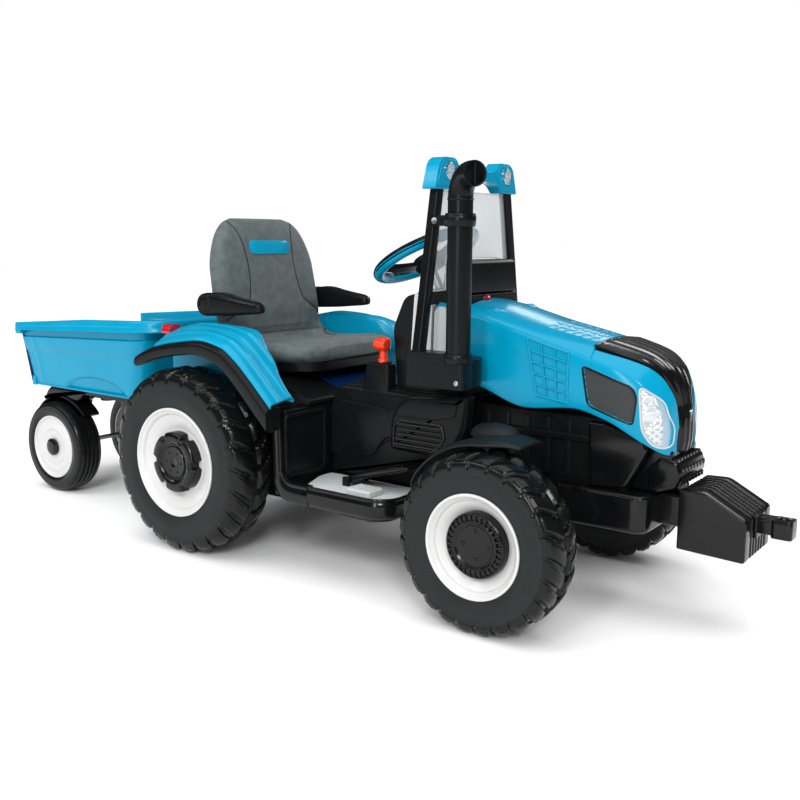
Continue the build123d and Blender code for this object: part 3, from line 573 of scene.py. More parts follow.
wheelBead = {"rear": 111.0, "fron": 88.0, "trai": 79.0}
rimSteps = {"rear": [(0, 0), (0, 4), (3.5, 7), (6, 12), (13, 17), (15.5, 23), (18.5, 27), (20, 33),
                     (22, 37), (22, 47)],
            "fron": [(0, 0), (0, 4), (4, 7), (9, 12), (18, 16), (22, 20), (25, 24), (28, 27), (30, 30),
                     (30, 34)]}


def acrossWheel(node):
    # a wheel part's side, where it starts and ends away from the middle plane, its centre's x and z
    low, high = boxOf(node)
    inner, outer = sorted((abs(low[1]), abs(high[1])))
    return -1 if low[1] < 0 else 1, inner, outer, ((low[0] + high[0]) / 2, (low[2] + high[2]) / 2)


def makeRim(node, body):
    # a stepped dish turned about the axle: the face's steps, the hub tube, then the barrel's inside
    side, inner, outer, centre = acrossWheel(node)
    kind = node[:4]
    bead = wheelBead[kind]
    steps = np.array(rimSteps[kind], float)
    face = np.stack([outer - steps[:, 0], bead - steps[:, 1]], axis=-1)
    dish = steps[-1, 0]
    back = [(outer - dish, 8.05), (inner + 2, 8.05), (inner + 2, 16), (outer - dish - 4, 16),
            (outer - dish - 4, bead - steps[-1, 1] - 6), (outer - 8, bead - 9), (inner, bead - 6),
            (inner, bead)]
    profile = roundedLoop(np.vstack([face, back]), 1.6, 4)
    profile[:, 0] *= side
    rows = turnedAboutY(np.vstack([profile, profile[:1]]), centre, 144)
    makePiece(node.replace("_", ".") + ".dished", [rows], [rimWhite], body, [node],
              sharpAngle=40)


def polarCap(profile, centre, side, edge, steps=240, ripple=None):
    # a cap as seen along the axle: each ring of the profile is (stand, radius, scallop share),
    # its radius pulled in by the scallop curve, its stand changed by ripple (ring, angle)
    profile = np.asarray(profile, float)
    angle = np.linspace(0, 2 * math.pi, steps, endpoint=False)[:, None]
    radius = profile[None, :, 1] - profile[None, :, 2] * edge(angle)
    stand = profile[None, :, 0] + (ripple(profile, angle) if ripple else 0) + 0 * angle
    return patch(stack3(centre[0] + radius * np.cos(angle), side * (centre[1] + stand),
                        centre[2] + radius * np.sin(angle)), wrapRows=True)


rearCap = {"notches": 6, "notchWide": 0.12, "notchDeep": 9.0, "holes": 6, "holeRing": 21.0, "holeR": 2.3}


def makeRearCap(node, body):
    # a scalloped cup with a rounded edge and a sunken middle plate with six small holes
    side, seat, far, (x, z) = acrossWheel(node)
    tall, centre = far - seat, (x, seat, z)
    setup = rearCap

    def scallop(angle):
        # rounded bites, as many as notches, each a raised cosine of the angle from its middle
        off = np.abs(((angle * setup["notches"] / (2 * math.pi) + 0.5) % 1) - 0.5)
        return 1 - smoothStep(off, setup["notchWide"] * 0.55, setup["notchWide"] * 1.25)

    deep = setup["notchDeep"]
    profile = [(0, 62, deep), (tall - 8, 62, deep), (tall - 4.5, 61.2, deep), (tall - 2, 59.2, deep),
               (tall - 0.6, 56, deep), (tall, 52, deep * 0.8), (tall, 47, 2), (tall - 0.5, 42, 0),
               (tall - 2, 39.5, 0), (tall - 4.5, 37.5, 0), (tall - 5.5, 36, 0), (tall - 5.5, 33.5, 0),
               (tall - 3.5, 32.6, 0), (tall - 2.8, 31.5, 0), (tall - 3.2, 30, 0), (tall - 3.6, 12, 0),
               (tall - 3.6, 9, 0), (tall - 4.2, 8, 0), (tall - 4.2, 0, 0), (2, 0, 0), (2, 55, deep),
               (0, 62, deep)]
    parts = [polarCap(profile, centre, side, scallop)]
    for turn in np.arange(setup["holes"]) * 2 * math.pi / setup["holes"]:
        spot = (centre[0] + setup["holeRing"] * math.cos(turn), side * (seat + tall - 3.4),
                centre[2] + setup["holeRing"] * math.sin(turn))
        parts.append(disc(spot, setup["holeR"], side * 1.2, "y", 14, finish=1, dome=side * 0.5))
    makePiece(node.replace("_", ".") + ".scalloped", parts, [glossBlack, seamBlack], body,
              [node], sharpAngle=40)


frontCap = {"teeth": 30, "toothDeep": 2.6, "crosses": 4, "crossRing": 24.0}


def makeFrontCap(node, body):
    # a ring of small teeth round a sunken plate, and four plus-shaped bosses
    side, seat, far, (x, z) = acrossWheel(node)
    tall, centre = far - seat, (x, seat, z)
    setup = frontCap

    def teeth(profile, angle):
        # a square-ish wave round the cap, only on the rings between the two tooth radii
        radius = profile[None, :, 1]
        ring = smoothStep(radius, 41.5, 42.5) * (1 - smoothStep(radius, 50.5, 51.5))
        outside = profile[None, :, 0] > 4
        wave = smoothStep(np.cos(angle * setup["teeth"]), -0.25, 0.25)
        return -setup["toothDeep"] * wave * ring * outside

    profile = [(0, 55.5, 0), (tall - 7, 55.5, 0), (tall - 3, 54.8, 0), (tall - 1, 53.4, 0),
               (tall - 0.4, 52, 0), (tall - 1.2, 51.2, 0), (tall - 1.4, 50, 0), (tall - 1.4, 49.6, 0),
               (tall - 1.4, 43, 0), (tall - 1.4, 42.6, 0), (tall - 0.2, 41.4, 0), (tall, 40, 0),
               (tall - 0.6, 38.6, 0), (tall - 3.4, 37, 0), (tall - 4, 35.5, 0), (tall - 4, 33.6, 0),
               (tall - 3.2, 33, 0), (tall - 3.0, 32, 0), (tall - 3.0, 14, 0), (tall - 3.3, 0, 0), (2, 0, 0),
               (2, 52, 0), (0, 55.5, 0)]
    parts = [polarCap(profile, centre, side, lambda angle: 0 * angle, 360, teeth)]
    for turn in (np.arange(setup["crosses"]) + 0.5) * 2 * math.pi / setup["crosses"] + math.pi / 4:
        spot = np.array([centre[0] + setup["crossRing"] * math.cos(turn), side * (seat + tall - 3.0),
                         centre[2] + setup["crossRing"] * math.sin(turn)])
        parts.append(disc(spot, 4.6, side * 0.9, "y", 18))
        for a, b in ((3.4, 1.0), (1.0, 3.4)):
            parts.append(block(spot - [a, 0.2, b], spot + [a, side * 1.9, b], 1))
    makePiece(node.replace("_", ".") + ".toothed", parts, [glossBlack, seamBlack], body,
              [node], sharpAngle=40)


trailerTyre = {"ribs": 5, "ribDeep": 4.2}


def makeTrailerTyre(node, body):
    # five ribs round the tread: r = outer - deep * groove(y), the grooves raised cosines of y
    low, high = boxOf(node)
    outer = (high[2] - low[2]) / 2
    half = (high[1] - low[1]) / 2
    setup = trailerTyre
    y, r = tyreSection(half, outer, wheelBead["trai"], 160)
    lane = (y / (half * 0.88) + 1) / 2 * setup["ribs"]
    groove = 1 - smoothStep(np.abs(lane - np.round(lane)), 0.09, 0.2)
    groove *= smoothStep(r / outer, 0.9, 0.93) * (np.abs(y) < half * 0.86)
    profile = np.stack([y + (low[1] + high[1]) / 2, r - setup["ribDeep"] * groove], axis=-1)
    centre = ((low[0] + high[0]) / 2, (low[2] + high[2]) / 2)
    makePiece(node.replace("_", ".") + ".ribbed", [turnedAboutY(np.vstack([profile, profile[:1]]), centre,
                                                                144)],
              [treadBlack], body, [node], sharpAngle=38)


def makeTrailerRim(node, body):
    # a nearly flat white disc with two shallow steps and four moulded bosses
    side, inner, outer, centre = acrossWheel(node)
    profile = [(outer - 1, 79), (outer, 77.5), (outer, 75), (outer - 2, 73), (outer - 4.5, 70.5),
               (outer - 4.5, 64), (outer - 3, 62), (outer - 3, 46), (outer - 4.5, 44), (outer - 5.5, 40),
               (outer - 5.5, 6.05), (inner + 2, 6.05), (inner + 2, 14), (outer - 9.5, 14),
               (outer - 9.5, 68), (inner, 75), (inner, 79)]
    profile = roundedLoop(profile, 1.4, 4)
    profile[:, 0] *= side
    parts = [turnedAboutY(np.vstack([profile, profile[:1]]), centre, 120)]
    for turn in np.arange(4) * math.pi / 2 + 0.5:
        spot = (centre[0] + 54 * math.cos(turn), side * (outer - 3.2), centre[1] + 54 * math.sin(turn))
        parts.append(disc(spot, 3.0, side * 1.0, "y", 16))
    makePiece(node.replace("_", ".") + ".disc", parts, [rimWhite], body, [node], sharpAngle=40)


def makeTrailerAxle():
    # the steel rod and a domed cap on each end
    low, high = boxOf("trailer_axle")
    x, z = (low[0] + high[0]) / 2, (low[2] + high[2]) / 2
    reach = high[1] - 4
    parts = [tube([(x, y, z) for y in np.linspace(-reach, reach, 5)], 6, 20, finish=1)]
    for side in (-1, 1):
        parts.append(disc((x, side * (reach - 4.5), z), 21, side * 6.5, "y", 48, dome=side * 1.8))
        parts.append(disc((x, side * (reach + 3.0), z), 12, side * 0.9, "y", 32))
    makePiece("trailer.axle.capped", parts, [glossBlack, drawnSteel], "trailer", ["trailer_axle"],
              sharpAngle=40)


for side in ("right", "left"):
    for end in ("rear", "front"):
        body = f"{end}_wheel_{side}"
        makeTractorTyre(f"{end}_tyre_{side}", body)
        makeRim(f"{end}_rim_{side}", body)
    makeRearCap(f"rear_hub_cap_{side}", f"rear_wheel_{side}")
    makeFrontCap(f"front_hub_cap_{side}", f"front_wheel_{side}")
    makeTrailerTyre(f"trailer_tyre_{side}", f"trailer_wheel_{side}")
    makeTrailerRim(f"trailer_rim_{side}", f"trailer_wheel_{side}")
makeTrailerAxle()
print("wheels ready")


def splineBasis(count, at, degree=3):
    # how much each of count control points counts at each parameter: a clamped uniform B-spline
    knots = np.concatenate([np.zeros(degree), np.linspace(0, 1, count - degree + 1), np.ones(degree)])
    at = np.clip(np.asarray(at, float), 0, 1 - 1e-9)[:, None]
    weight = ((at >= knots[:-1]) & (at < knots[1:])).astype(float)
    for d in range(1, degree + 1):
        rise = knots[d:-1] - knots[:-d - 1]
        fall = knots[d + 1:] - knots[1:-d]
        left = np.where(rise > 0, (at - knots[:-d - 1]) / np.where(rise > 0, rise, 1), 0)
        right = np.where(fall > 0, (knots[d + 1:] - at) / np.where(fall > 0, fall, 1), 0)
        weight = left * weight[:, :-1] + right * weight[:, 1:]
    return weight


def facingOut(item, inside):
    # turns a patch's faces round if they look towards the inside point on the whole
    points, faces, finish = item
    quads = np.array([face[:4] for face in faces])
    corner = points[quads]
    normal = np.cross(corner[:, 2] - corner[:, 0], corner[:, 3] - corner[:, 1])
    if (normal * (corner.mean(axis=1) - np.asarray(inside))).sum() < 0:
        faces = [face[::-1] for face in faces]
    return points, faces, finish


def distanceInside(points, outline):
    # signed distance from 2-D points to a closed outline, positive inside
    points, outline = np.asarray(points, float), np.asarray(outline, float)
    start, end = outline, np.roll(outline, -1, axis=0)
    span = end - start
    gap = points[..., None, :] - start
    t = np.clip((gap * span).sum(-1) / (span ** 2).sum(-1), 0, 1)
    near = np.linalg.norm(gap - t[..., None] * span, axis=-1).min(axis=-1)
    crosses = (start[:, 1] > points[..., 1:2]) != (end[:, 1] > points[..., 1:2])
    slope = np.where(span[:, 1] == 0, 1e-9, span[:, 1])
    where = start[:, 0] + (points[..., 1:2] - start[:, 1]) * span[:, 0] / slope
    inside = (crosses & (points[..., 0:1] < where)).sum(axis=-1) % 2 == 1
    return np.where(inside, near, -near)


hoodShape = {"x": [500, 588, 690, 780, 840, 885, 915, 931, 939],
             "half": [104, 105, 105, 105, 104, 97, 84, 66, 44],
             "low": [396, 382, 352, 360, 346, 322, 304, 294, 291],
             "shoulder": [518, 506, 480, 456, 437, 418, 392, 366, 336],
             "crown": [539, 524, 499, 480, 466, 452, 430, 402, 372]}
grilleHalf = {"x": [806, 840, 880, 906, 925, 939], "half": [84, 80, 72, 62, 52, 36]}
lampOutline = roundedLoop([(890, 408), (897, 334), (913, 309), (936, 304), (937, 338), (924, 384)], 12, 5)
grilleOutline = roundedLoop([(793, 434), (880, 405), (888, 388), (884, 342), (806, 368)], 9, 5)
louvrePanel = {"topLeft": (690, 472), "topRight": (769, 452), "lowRight": (769, 368), "lowLeft": (712, 376),
               "columns": 3, "rows": 5, "bar": 1.6, "edge": 2.2, "lift": 0.5, "deep": 1.2, "soft": 0.06}


def hoodSection(x, at):
    # half a cross-section as a B-spline: up the side, over the shoulder, up to the crown
    x = np.asarray(x, float)
    half, low, shoulder, crown = (through(x, hoodShape["x"], hoodShape[k])
                                  for k in ("half", "low", "shoulder", "crown"))
    waist = low + (shoulder - low) * 0.55
    y = np.stack([-half + 3, -half + 0.5, -half, -half + 1.5, -half + 3.5, -half + 9, -half * 0.72,
                  -half * 0.36, -half * 0.12, 0 * half], axis=-1)
    z = np.stack([low, low + 9, waist, shoulder - 16, shoulder - 3, shoulder + 2, crown - 7,
                  crown - 1.6, crown, crown], axis=-1)
    weight = splineBasis(10, at)
    return y @ weight.T, z @ weight.T


denseAt = np.linspace(0, 1, 160)


def findAlong(values, targets):
    # parameter of denseAt at which each row of rising values reaches its target
    i = np.clip((values < targets[:, None]).sum(axis=1), 1, values.shape[1] - 1)
    row = np.arange(len(i))
    a, b = values[row, i - 1], values[row, i]
    share = np.clip((targets - a) / np.where(b - a == 0, 1, b - a), 0, 1)
    return denseAt[i - 1] + share * (denseAt[i] - denseAt[i - 1])


def onHood(x, z, lift=0.0):
    # the point of the hood's right side at x and height z, lifted outwards
    shape = np.shape(x)
    x, z = np.ravel(x).astype(float), np.ravel(z).astype(float)
    y, height = hoodSection(x, denseAt)
    at = findAlong(height, z)
    found = np.array([np.interp(a, denseAt, row) for a, row in zip(at, y)])
    ahead = hoodSection(x + 1.5, denseAt)
    behind = hoodSection(x - 1.5, denseAt)
    yAhead = np.array([np.interp(a, h, row) for a, h, row in zip(z, ahead[1], ahead[0])])
    yBehind = np.array([np.interp(a, h, row) for a, h, row in zip(z, behind[1], behind[0])])
    slope = (yAhead - yBehind) / 3
    size = np.sqrt(1 + slope ** 2)
    lift = np.ravel(np.broadcast_to(lift, shape))
    return stack3(x + lift * slope / size, found - lift / size, z).reshape(*shape, 3)


def insideShare(u, v, softU, softV):
    # 1 inside the unit square, a smoothStep down to 0 over its soft edges
    return (smoothStep(u, 0, softU) * smoothStep(1 - u, 0, softU)
            * smoothStep(v, 0, softV) * smoothStep(1 - v, 0, softV))


def louvreHeights(x):
    # the slanted side panel's lower and upper edge at x, both straight lines
    corners = (louvrePanel[k] for k in ("topLeft", "topRight", "lowRight", "lowLeft"))
    (x0, z0), (x1, z1), (x2, z2), (x3, z3) = corners
    return z3 + (z2 - z3) * (x - x3) / (x2 - x3), z0 + (z1 - z0) * (x - x0) / (x1 - x0)


def louvreEdge(v):
    # x of its left edge at share v of its height, and x of its right edge
    low, high = louvrePanel["lowLeft"][0], louvrePanel["topLeft"][0]
    return low + (high - low) * v, louvrePanel["topRight"][0]


def louvreLift(x, z):
    # a recess inside the panel: deep times a smoothStep of the share from each of its four edges
    bottom, top = louvreHeights(x)
    v = (z - bottom) / (top - bottom)
    left, right = louvreEdge(np.clip(v, 0, 1))
    u = (x - left) / (right - left)
    soft = louvrePanel["soft"]
    return -louvrePanel["deep"] * insideShare(u, v, soft, soft)


def louvrePoint(u, v):
    # x and z of the panel's share u from its left edge and v from its lower edge
    left, right = louvreEdge(v)
    x = left + u * (right - left)
    bottom, top = louvreHeights(x)
    return x, bottom + v * (top - bottom)


def makeLouvreBars():
    # round bars along lines of equal u and of equal v, thicker round the edge
    p = louvrePanel
    line = np.linspace(0, 1, 40)
    bars = []
    for count, upright in ((p["columns"], True), (p["rows"], False)):
        for i in range(count + 1):
            share = np.full(line.shape, i / count)
            x, z = louvrePoint(share, line) if upright else louvrePoint(line, share)
            bars.append(tube(onHood(x, z, p["lift"]), p["edge"] if i in (0, count) else p["bar"], 10))
    makePiece("hood.louvre.bars", bothSides(bars), [shellBlue], "tractor",
              sharpAngle=60)


def topLift(x, y):
    # faint lattice on the bonnet, a small nub near its rear right edge and a shallow middle step
    u, v = (x - 706) / 94, (np.abs(y) - 8) / 54
    inside = insideShare(u, v, 0.04, 0.05)
    uBar = np.abs(u * 6 - np.round(u * 6))
    vBar = np.abs(v * 3 - np.round(v * 3))
    bars = np.maximum(1 - smoothStep(uBar, 0.1, 0.18), 1 - smoothStep(vBar, 0.1, 0.16))
    nub = 4 * np.exp(-((x - 606) / 9) ** 2 - ((y + 66) / 5) ** 2)
    return inside * (0.7 * bars - 0.4) + nub


def hoodGrid(xs, atEnd):
    # the right half's points for rows of x; each row's parameter runs from 0 to its own end
    share = np.linspace(0, 1, 108)
    y, z = hoodSection(xs, denseAt)
    at = atEnd[:, None] * share[None, :]
    y = np.array([np.interp(a, denseAt, row) for a, row in zip(at, y)])
    z = np.array([np.interp(a, denseAt, row) for a, row in zip(at, z)])
    points = stack3(xs[:, None], y, z)
    normal = np.cross(np.gradient(points, axis=0), np.gradient(points, axis=1))
    normal /= np.maximum(np.linalg.norm(normal, axis=-1, keepdims=True), 1e-9)
    normal *= np.sign((normal * (points - np.array([700.0, 0, 400]))).sum(-1, keepdims=True))
    side = smoothStep(np.abs(normal[..., 1]), 0.35, 0.6)
    flat = points[..., [0, 2]]
    recess = 10 * smoothStep(distanceInside(flat, lampOutline), 0, 2.4) \
        + 4 * smoothStep(distanceInside(flat, grilleOutline), 0, 2.0)
    lift = side * (louvreLift(points[..., 0], points[..., 2]) - recess)
    lift += (1 - smoothStep(np.abs(normal[..., 1]), 0.2, 0.4)) * topLift(points[..., 0], points[..., 1])
    return points + normal * lift[..., None]


def makeHood():
    # rows of half sections: whole from the dash to the grille, then up to the grille's edge only
    rear = np.linspace(hoodShape["x"][0], grilleHalf["x"][0], 150)
    run = 1 - (1 - np.linspace(0, 1, 74)) ** 1.7
    nose = grilleHalf["x"][0] + (hoodShape["x"][-1] - grilleHalf["x"][0]) * run
    sections, _ = hoodSection(nose, denseAt)
    end = findAlong(sections, -through(nose, grilleHalf["x"], grilleHalf["half"]) - 0.4)
    parts = []
    for xs, ends in ((rear, np.ones(len(rear))), (nose, end)):
        right = facingOut(patch(hoodGrid(xs, ends)), (700, 0, 380))
        parts += [right, mirrorPatch(right)]
    makePiece("hood.moulded", parts, [shellBlue], "tractor", ["hood"], solid=3.0,
              sharpAngle=40)


noseRibs = {"count": 6, "raise": 3.6, "along": 150, "across": 181}


def makeNoseGrille():
    # black ribs carried along the middle line over the nose; sideways the skin falls as u squared
    top = np.linspace(grilleHalf["x"][0] + 0.5, 939, 100)
    front = np.array([(941.5, 364), (944, 350), (945, 330), (944.5, 310), (942, 296), (938, 288)])
    line = np.vstack([np.stack([top, through(top, hoodShape["x"], hoodShape["crown"])], axis=-1), front])
    line = alongLoop(line, noseRibs["along"])
    half = np.where(line[:, 1] > 371, through(line[:, 0], grilleHalf["x"], grilleHalf["half"]),
                    36 + 7 * smoothStep(372 - line[:, 1], 0, 40))
    ahead = np.gradient(line, axis=0)
    ahead /= np.linalg.norm(ahead, axis=1, keepdims=True)
    normal = np.stack([-ahead[:, 1], ahead[:, 0]], axis=-1)
    u = np.linspace(-1, 1, noseRibs["across"])[None, :]
    y = half[:, None] * u
    fall = 6.5 * np.abs(u) ** 2.6 + 7 * smoothStep(372 - line[:, 1], -30, 30)[:, None] * u ** 2
    wave = np.abs(((u + 1) / 2 * noseRibs["count"]) % 1 - 0.5) * 2
    rib = noseRibs["raise"] * (1 - smoothStep(wave, 0.45, 0.8)) * smoothStep(1 - np.abs(u), 0.0, 0.05)
    fade = smoothStep(np.arange(len(line)) / len(line), 0.0, 0.06)[:, None]
    lift = rib * fade - fall - 1.2
    points = stack3(line[:, 0][:, None] + normal[:, 0][:, None] * lift, y, line[:, 1][:, None]
                    + normal[:, 1][:, None] * lift)
    badge = 941.0
    parts = [facingOut(patch(points), (800, 0, 350))]
    makePiece("nose.grille.ribbed", parts, [glossBlack], stands=["nose_grille"],
              solid=2.5, sharpAngle=45)
    rim = roundedLoop([(-8, 338), (8, 338), (8, 362), (-8, 362)], 5, 5)
    makePiece("nose.badge.blank", [slab(rim, badge, badge + 3.6, "x"),
                                   slab((rim - [0, 350]) * 0.72 + [0, 350], badge + 3, badge + 4.4, "x",
                                        1)],
              [chromeBright, shellBlue], bevel=0.8)


def panelOn(outline, lift, dome=0.0, finish=0, rings=9, ripple=None):
    # rings that shrink from an outline to its middle, laid on the hood's side and lifted
    outline = alongLoop(outline, 96, closed=True)
    middle = outline.mean(axis=0)
    share = np.linspace(0, 1, rings)[:, None, None]
    flat = outline + (middle - outline) * share
    rise = lift + dome * np.sin(share[..., 0] * math.pi / 2)
    rise = np.broadcast_to(rise, flat.shape[:2])
    if ripple:
        rise = rise + ripple(flat[..., 0], flat[..., 1])
    points = onHood(flat[..., 0], flat[..., 1], rise)
    item = patch(points, wrapColumns=True, finish=finish)
    return facingOut(item, (850, 0, 370))


def rimOn(outline, lift, radius, finish=0):
    # a round bead laid along an outline on the hood's side
    outline = alongLoop(outline, 120, closed=True)
    return tube(onHood(outline[:, 0], outline[:, 1], lift), radius, 10, closed=True, finish=finish)


def makeLamps():
    # headlamp: rippled reflector, two round lamps and a domed clear cover; side grille: woven mesh
    def flutes(x, z):
        return 0.9 * np.sin(z * 0.55) * np.cos(x * 0.45)

    def weave(x, z):
        return 0.45 * np.sin(x * 1.9) * np.sin(z * 1.9)

    inner = lampOutline.mean(axis=0) + (lampOutline - lampOutline.mean(axis=0)) * 0.94
    cover = panelOn(lampOutline, -0.6, 3.4, rings=14)
    reflector = panelOn(inner, -8.5, 0, rings=26, ripple=flutes)
    spots = [(912, 352, 15.0), (908, 382, 10.0)]
    bowls, bulbs = [], []
    for x, z, size in spots:
        place = onHood(np.array([x]), np.array([z]), -6.0)[0]
        ring = np.array([[0, 1.0], [4, 1.0], [4, 0.9], [1.5, 0.72], [-0.5, 0.45], [-1, 0.02]])
        angle = np.linspace(0, 2 * math.pi, 40, endpoint=False)[None, :]
        forward = np.array([0.42, -0.91])
        a = size * ring[:, 1:] * np.cos(angle)
        b = size * ring[:, 1:] * np.sin(angle)
        points = stack3(place[0] + a * 0.91 + ring[:, :1] * forward[0], place[1] + a * 0.42
                        + ring[:, :1] * forward[1], place[2] + b)
        bowls.append(patch(points, wrapColumns=True))
        bulbs.append(ball((place[0] + forward[0] * 2.5, place[1] + forward[1] * 2.5, place[2]),
                          (size * 0.3, size * 0.3, size * 0.3), finish=1))
    lamp = [reflector, *bowls, *bulbs, rimOn(lampOutline, -0.6, 1.6, 2)]
    makePiece("headlights.reflector", bothSides(lamp), [chromeBright, lensClear, plainGrey], "tractor",
              sharpAngle=50)
    makePiece("headlights.cover", bothSides([cover]), [lensClear], "tractor",
              ["headlights"], solid=1.2)
    mesh = [panelOn(grilleOutline, -3.4, 0, rings=60, ripple=weave), rimOn(grilleOutline, -1.2, 1.8, 1)]
    makePiece("side.grilles.mesh", bothSides(mesh), [meshDark, glossBlack], stands=["side_grilles"],
              sharpAngle=50)


def makeRedLamps():
    # round-edged tail lamps with five flutes, and the small lamp on the bonnet
    low, high = boxOf("red_lamps")
    parts = []
    for side in (-1, 1):
        outline = roundedLoop([(190, 436), (226, 436), (222, 455), (194, 458)], 11, 7) * [side, 1]
        parts.append(slab(outline, low[0], low[0] + 26, "x"))
        for i in range(5):
            z = 440 + i * 3.6
            parts.append(tube([(low[0] - 0.4, side * y, z) for y in (195, 208, 221)], 1.3, 8))
    turn = np.linspace(0, 2 * math.pi, 40, endpoint=False)[None, :]
    rise = np.linspace(0, 1, 8)[:, None]
    flat = np.sqrt(1 - 0.99 * rise ** 2)
    parts.append(patch(stack3(552 + 12 * flat * np.cos(turn), -20 + 19 * flat * np.sin(turn), 529
                              + 8 * rise + 0 * turn),
                       wrapColumns=True, capEnds=True))
    makePiece("red.lamps.fluted", parts, [lampRed], "tractor", ["red_lamps"], bevel=1.6,
              sharpAngle=40)


makeHood()
makeLouvreBars()
makeNoseGrille()
makeLamps()
makeRedLamps()
print("hood, nose and lamps ready")


fenderLine = {"x": [-124, -95, -50, 20, 75, 135, 172, 205, 262],
              "outer": [392, 408, 425, 438, 444, 434, 412, 384, 330],
              "crest": [402, 432, 450, 462, 460, 448, 424, 392, 336],
              "inner": [404, 436, 456, 466, 464, 458, 430, 400, 342],
              "outY": 290.0, "inY": 180.0, "narrow": 44.0, "cut": 66.0, "wall": 4.0, "ridge": 2.6}


def fenderStations(count):
    # x, spaced evenly along the fender's arc, and its three heights there
    x = np.linspace(fenderLine["x"][0], fenderLine["x"][-1], 400)
    z = through(x, fenderLine["x"], fenderLine["crest"])
    x = alongLoop(np.stack([x, z], axis=-1), count)[:, 0]
    return x, *(through(x, fenderLine["x"], fenderLine[k]) for k in ("outer", "crest", "inner"))


def makeFender(side):
    # a B-spline section from the outer skirt over the crest to the inner wall, moved along the arc;
    # two ridges run along it, each a raised cosine of the distance from its line
    x, outer, crest, inner = fenderStations(150)
    outY = fenderLine["outY"]
    inY = fenderLine["inY"] + fenderLine["narrow"] * smoothStep(x, 110, 255)
    web = np.minimum(inner - 1.5, 332)
    y = np.stack(np.broadcast_arrays(-outY + 0 * x, -outY, -outY + 1, -outY + 10, -outY + 34,
                                     -(outY + inY) / 2, -inY - 24, -inY - 6, -inY - 0.5, -inY, -inY),
                 axis=-1)
    z = np.stack([outer - 9, outer - 4, outer + 1, outer + 6, (outer + crest) / 2 + 3, crest + 1.5,
                  (crest + inner) / 2 + 1, inner, inner - 5, (inner + web) / 2, web], axis=-1)
    weight = splineBasis(11, np.linspace(0, 1, 120))
    y, z = y @ weight.T, z @ weight.T
    start = x[0] + fenderLine["cut"] * smoothStep(-y.mean(axis=0), 190, 282)
    cutX = start + (x[:, None] - x[0]) * (x[-1] - start) / (x[-1] - x[0])
    y = np.stack([np.interp(cutX[:, k], x, y[:, k]) for k in range(y.shape[1])], axis=1)
    z = np.stack([np.interp(cutX[:, k], x, z[:, k]) for k in range(z.shape[1])], axis=1)
    points = stack3(cutX, y, z)
    normal = np.cross(np.gradient(points, axis=0), np.gradient(points, axis=1))
    normal /= np.maximum(np.linalg.norm(normal, axis=-1, keepdims=True), 1e-9)
    normal *= np.sign(normal[..., 2:3] + 1e-6)
    spread = 1 + 0.25 * smoothStep(x, 60, 260)[:, None]
    ridges = sum(np.maximum(0, np.cos(np.clip((-y - line) / (7 * spread), -1, 1) * math.pi / 2)) ** 2
                 for line in (262, 214))
    tread = smoothStep(-y, 236, 243) * (1 - smoothStep(-y, 250, 257)) * -1.2
    ends = smoothStep(x, -112, -96)[:, None]
    lift = (fenderLine["ridge"] * ridges + tread) * ends * (np.abs(normal[..., 2]) > 0.3)
    points = points + normal * lift[..., None]
    item = facingOut(patch(points), (60, -235, 250))
    name = f"fender_{'right' if side < 0 else 'left'}"
    if side > 0:
        item = mirrorPatch(item)
    makePiece(name.replace("_", ".") + ".ridged", [item], [shellBlue], "tractor", [name],
              solid=fenderLine["wall"], sharpAngle=40)


def makeLiners():
    # a black strip under each fender's outer edge, widening towards its front foot
    x, outer, _, _ = fenderStations(110)
    x, outer = x[x > -108], outer[x > -108]
    wide = (7 + 17 * smoothStep(x, 40, 235)) * smoothStep(x, -125, -70)
    section = roundedLoop([(-262, -3), (-292, -3), (-301, -9), (-301.5, -20), (-292, -24), (-262, -20)], 6,
                          6)
    lower = section[:, 1] < -15
    y = section[None, :, 0] + 0 * x[:, None]
    z = outer[:, None] + section[None, :, 1] - wide[:, None] * lower[None, :]
    item = patch(stack3(x[:, None], y, z), wrapColumns=True, capEnds=True)
    makePiece("fender.liners.strip", bothSides([item]), [satinBlack], stands=["fender_liners"],
              sharpAngle=40)


mudguard = {"radius": 168.0, "wall": 4.0, "from": 72.0, "to": 160.0, "inY": 152.0, "outY": 268.0}


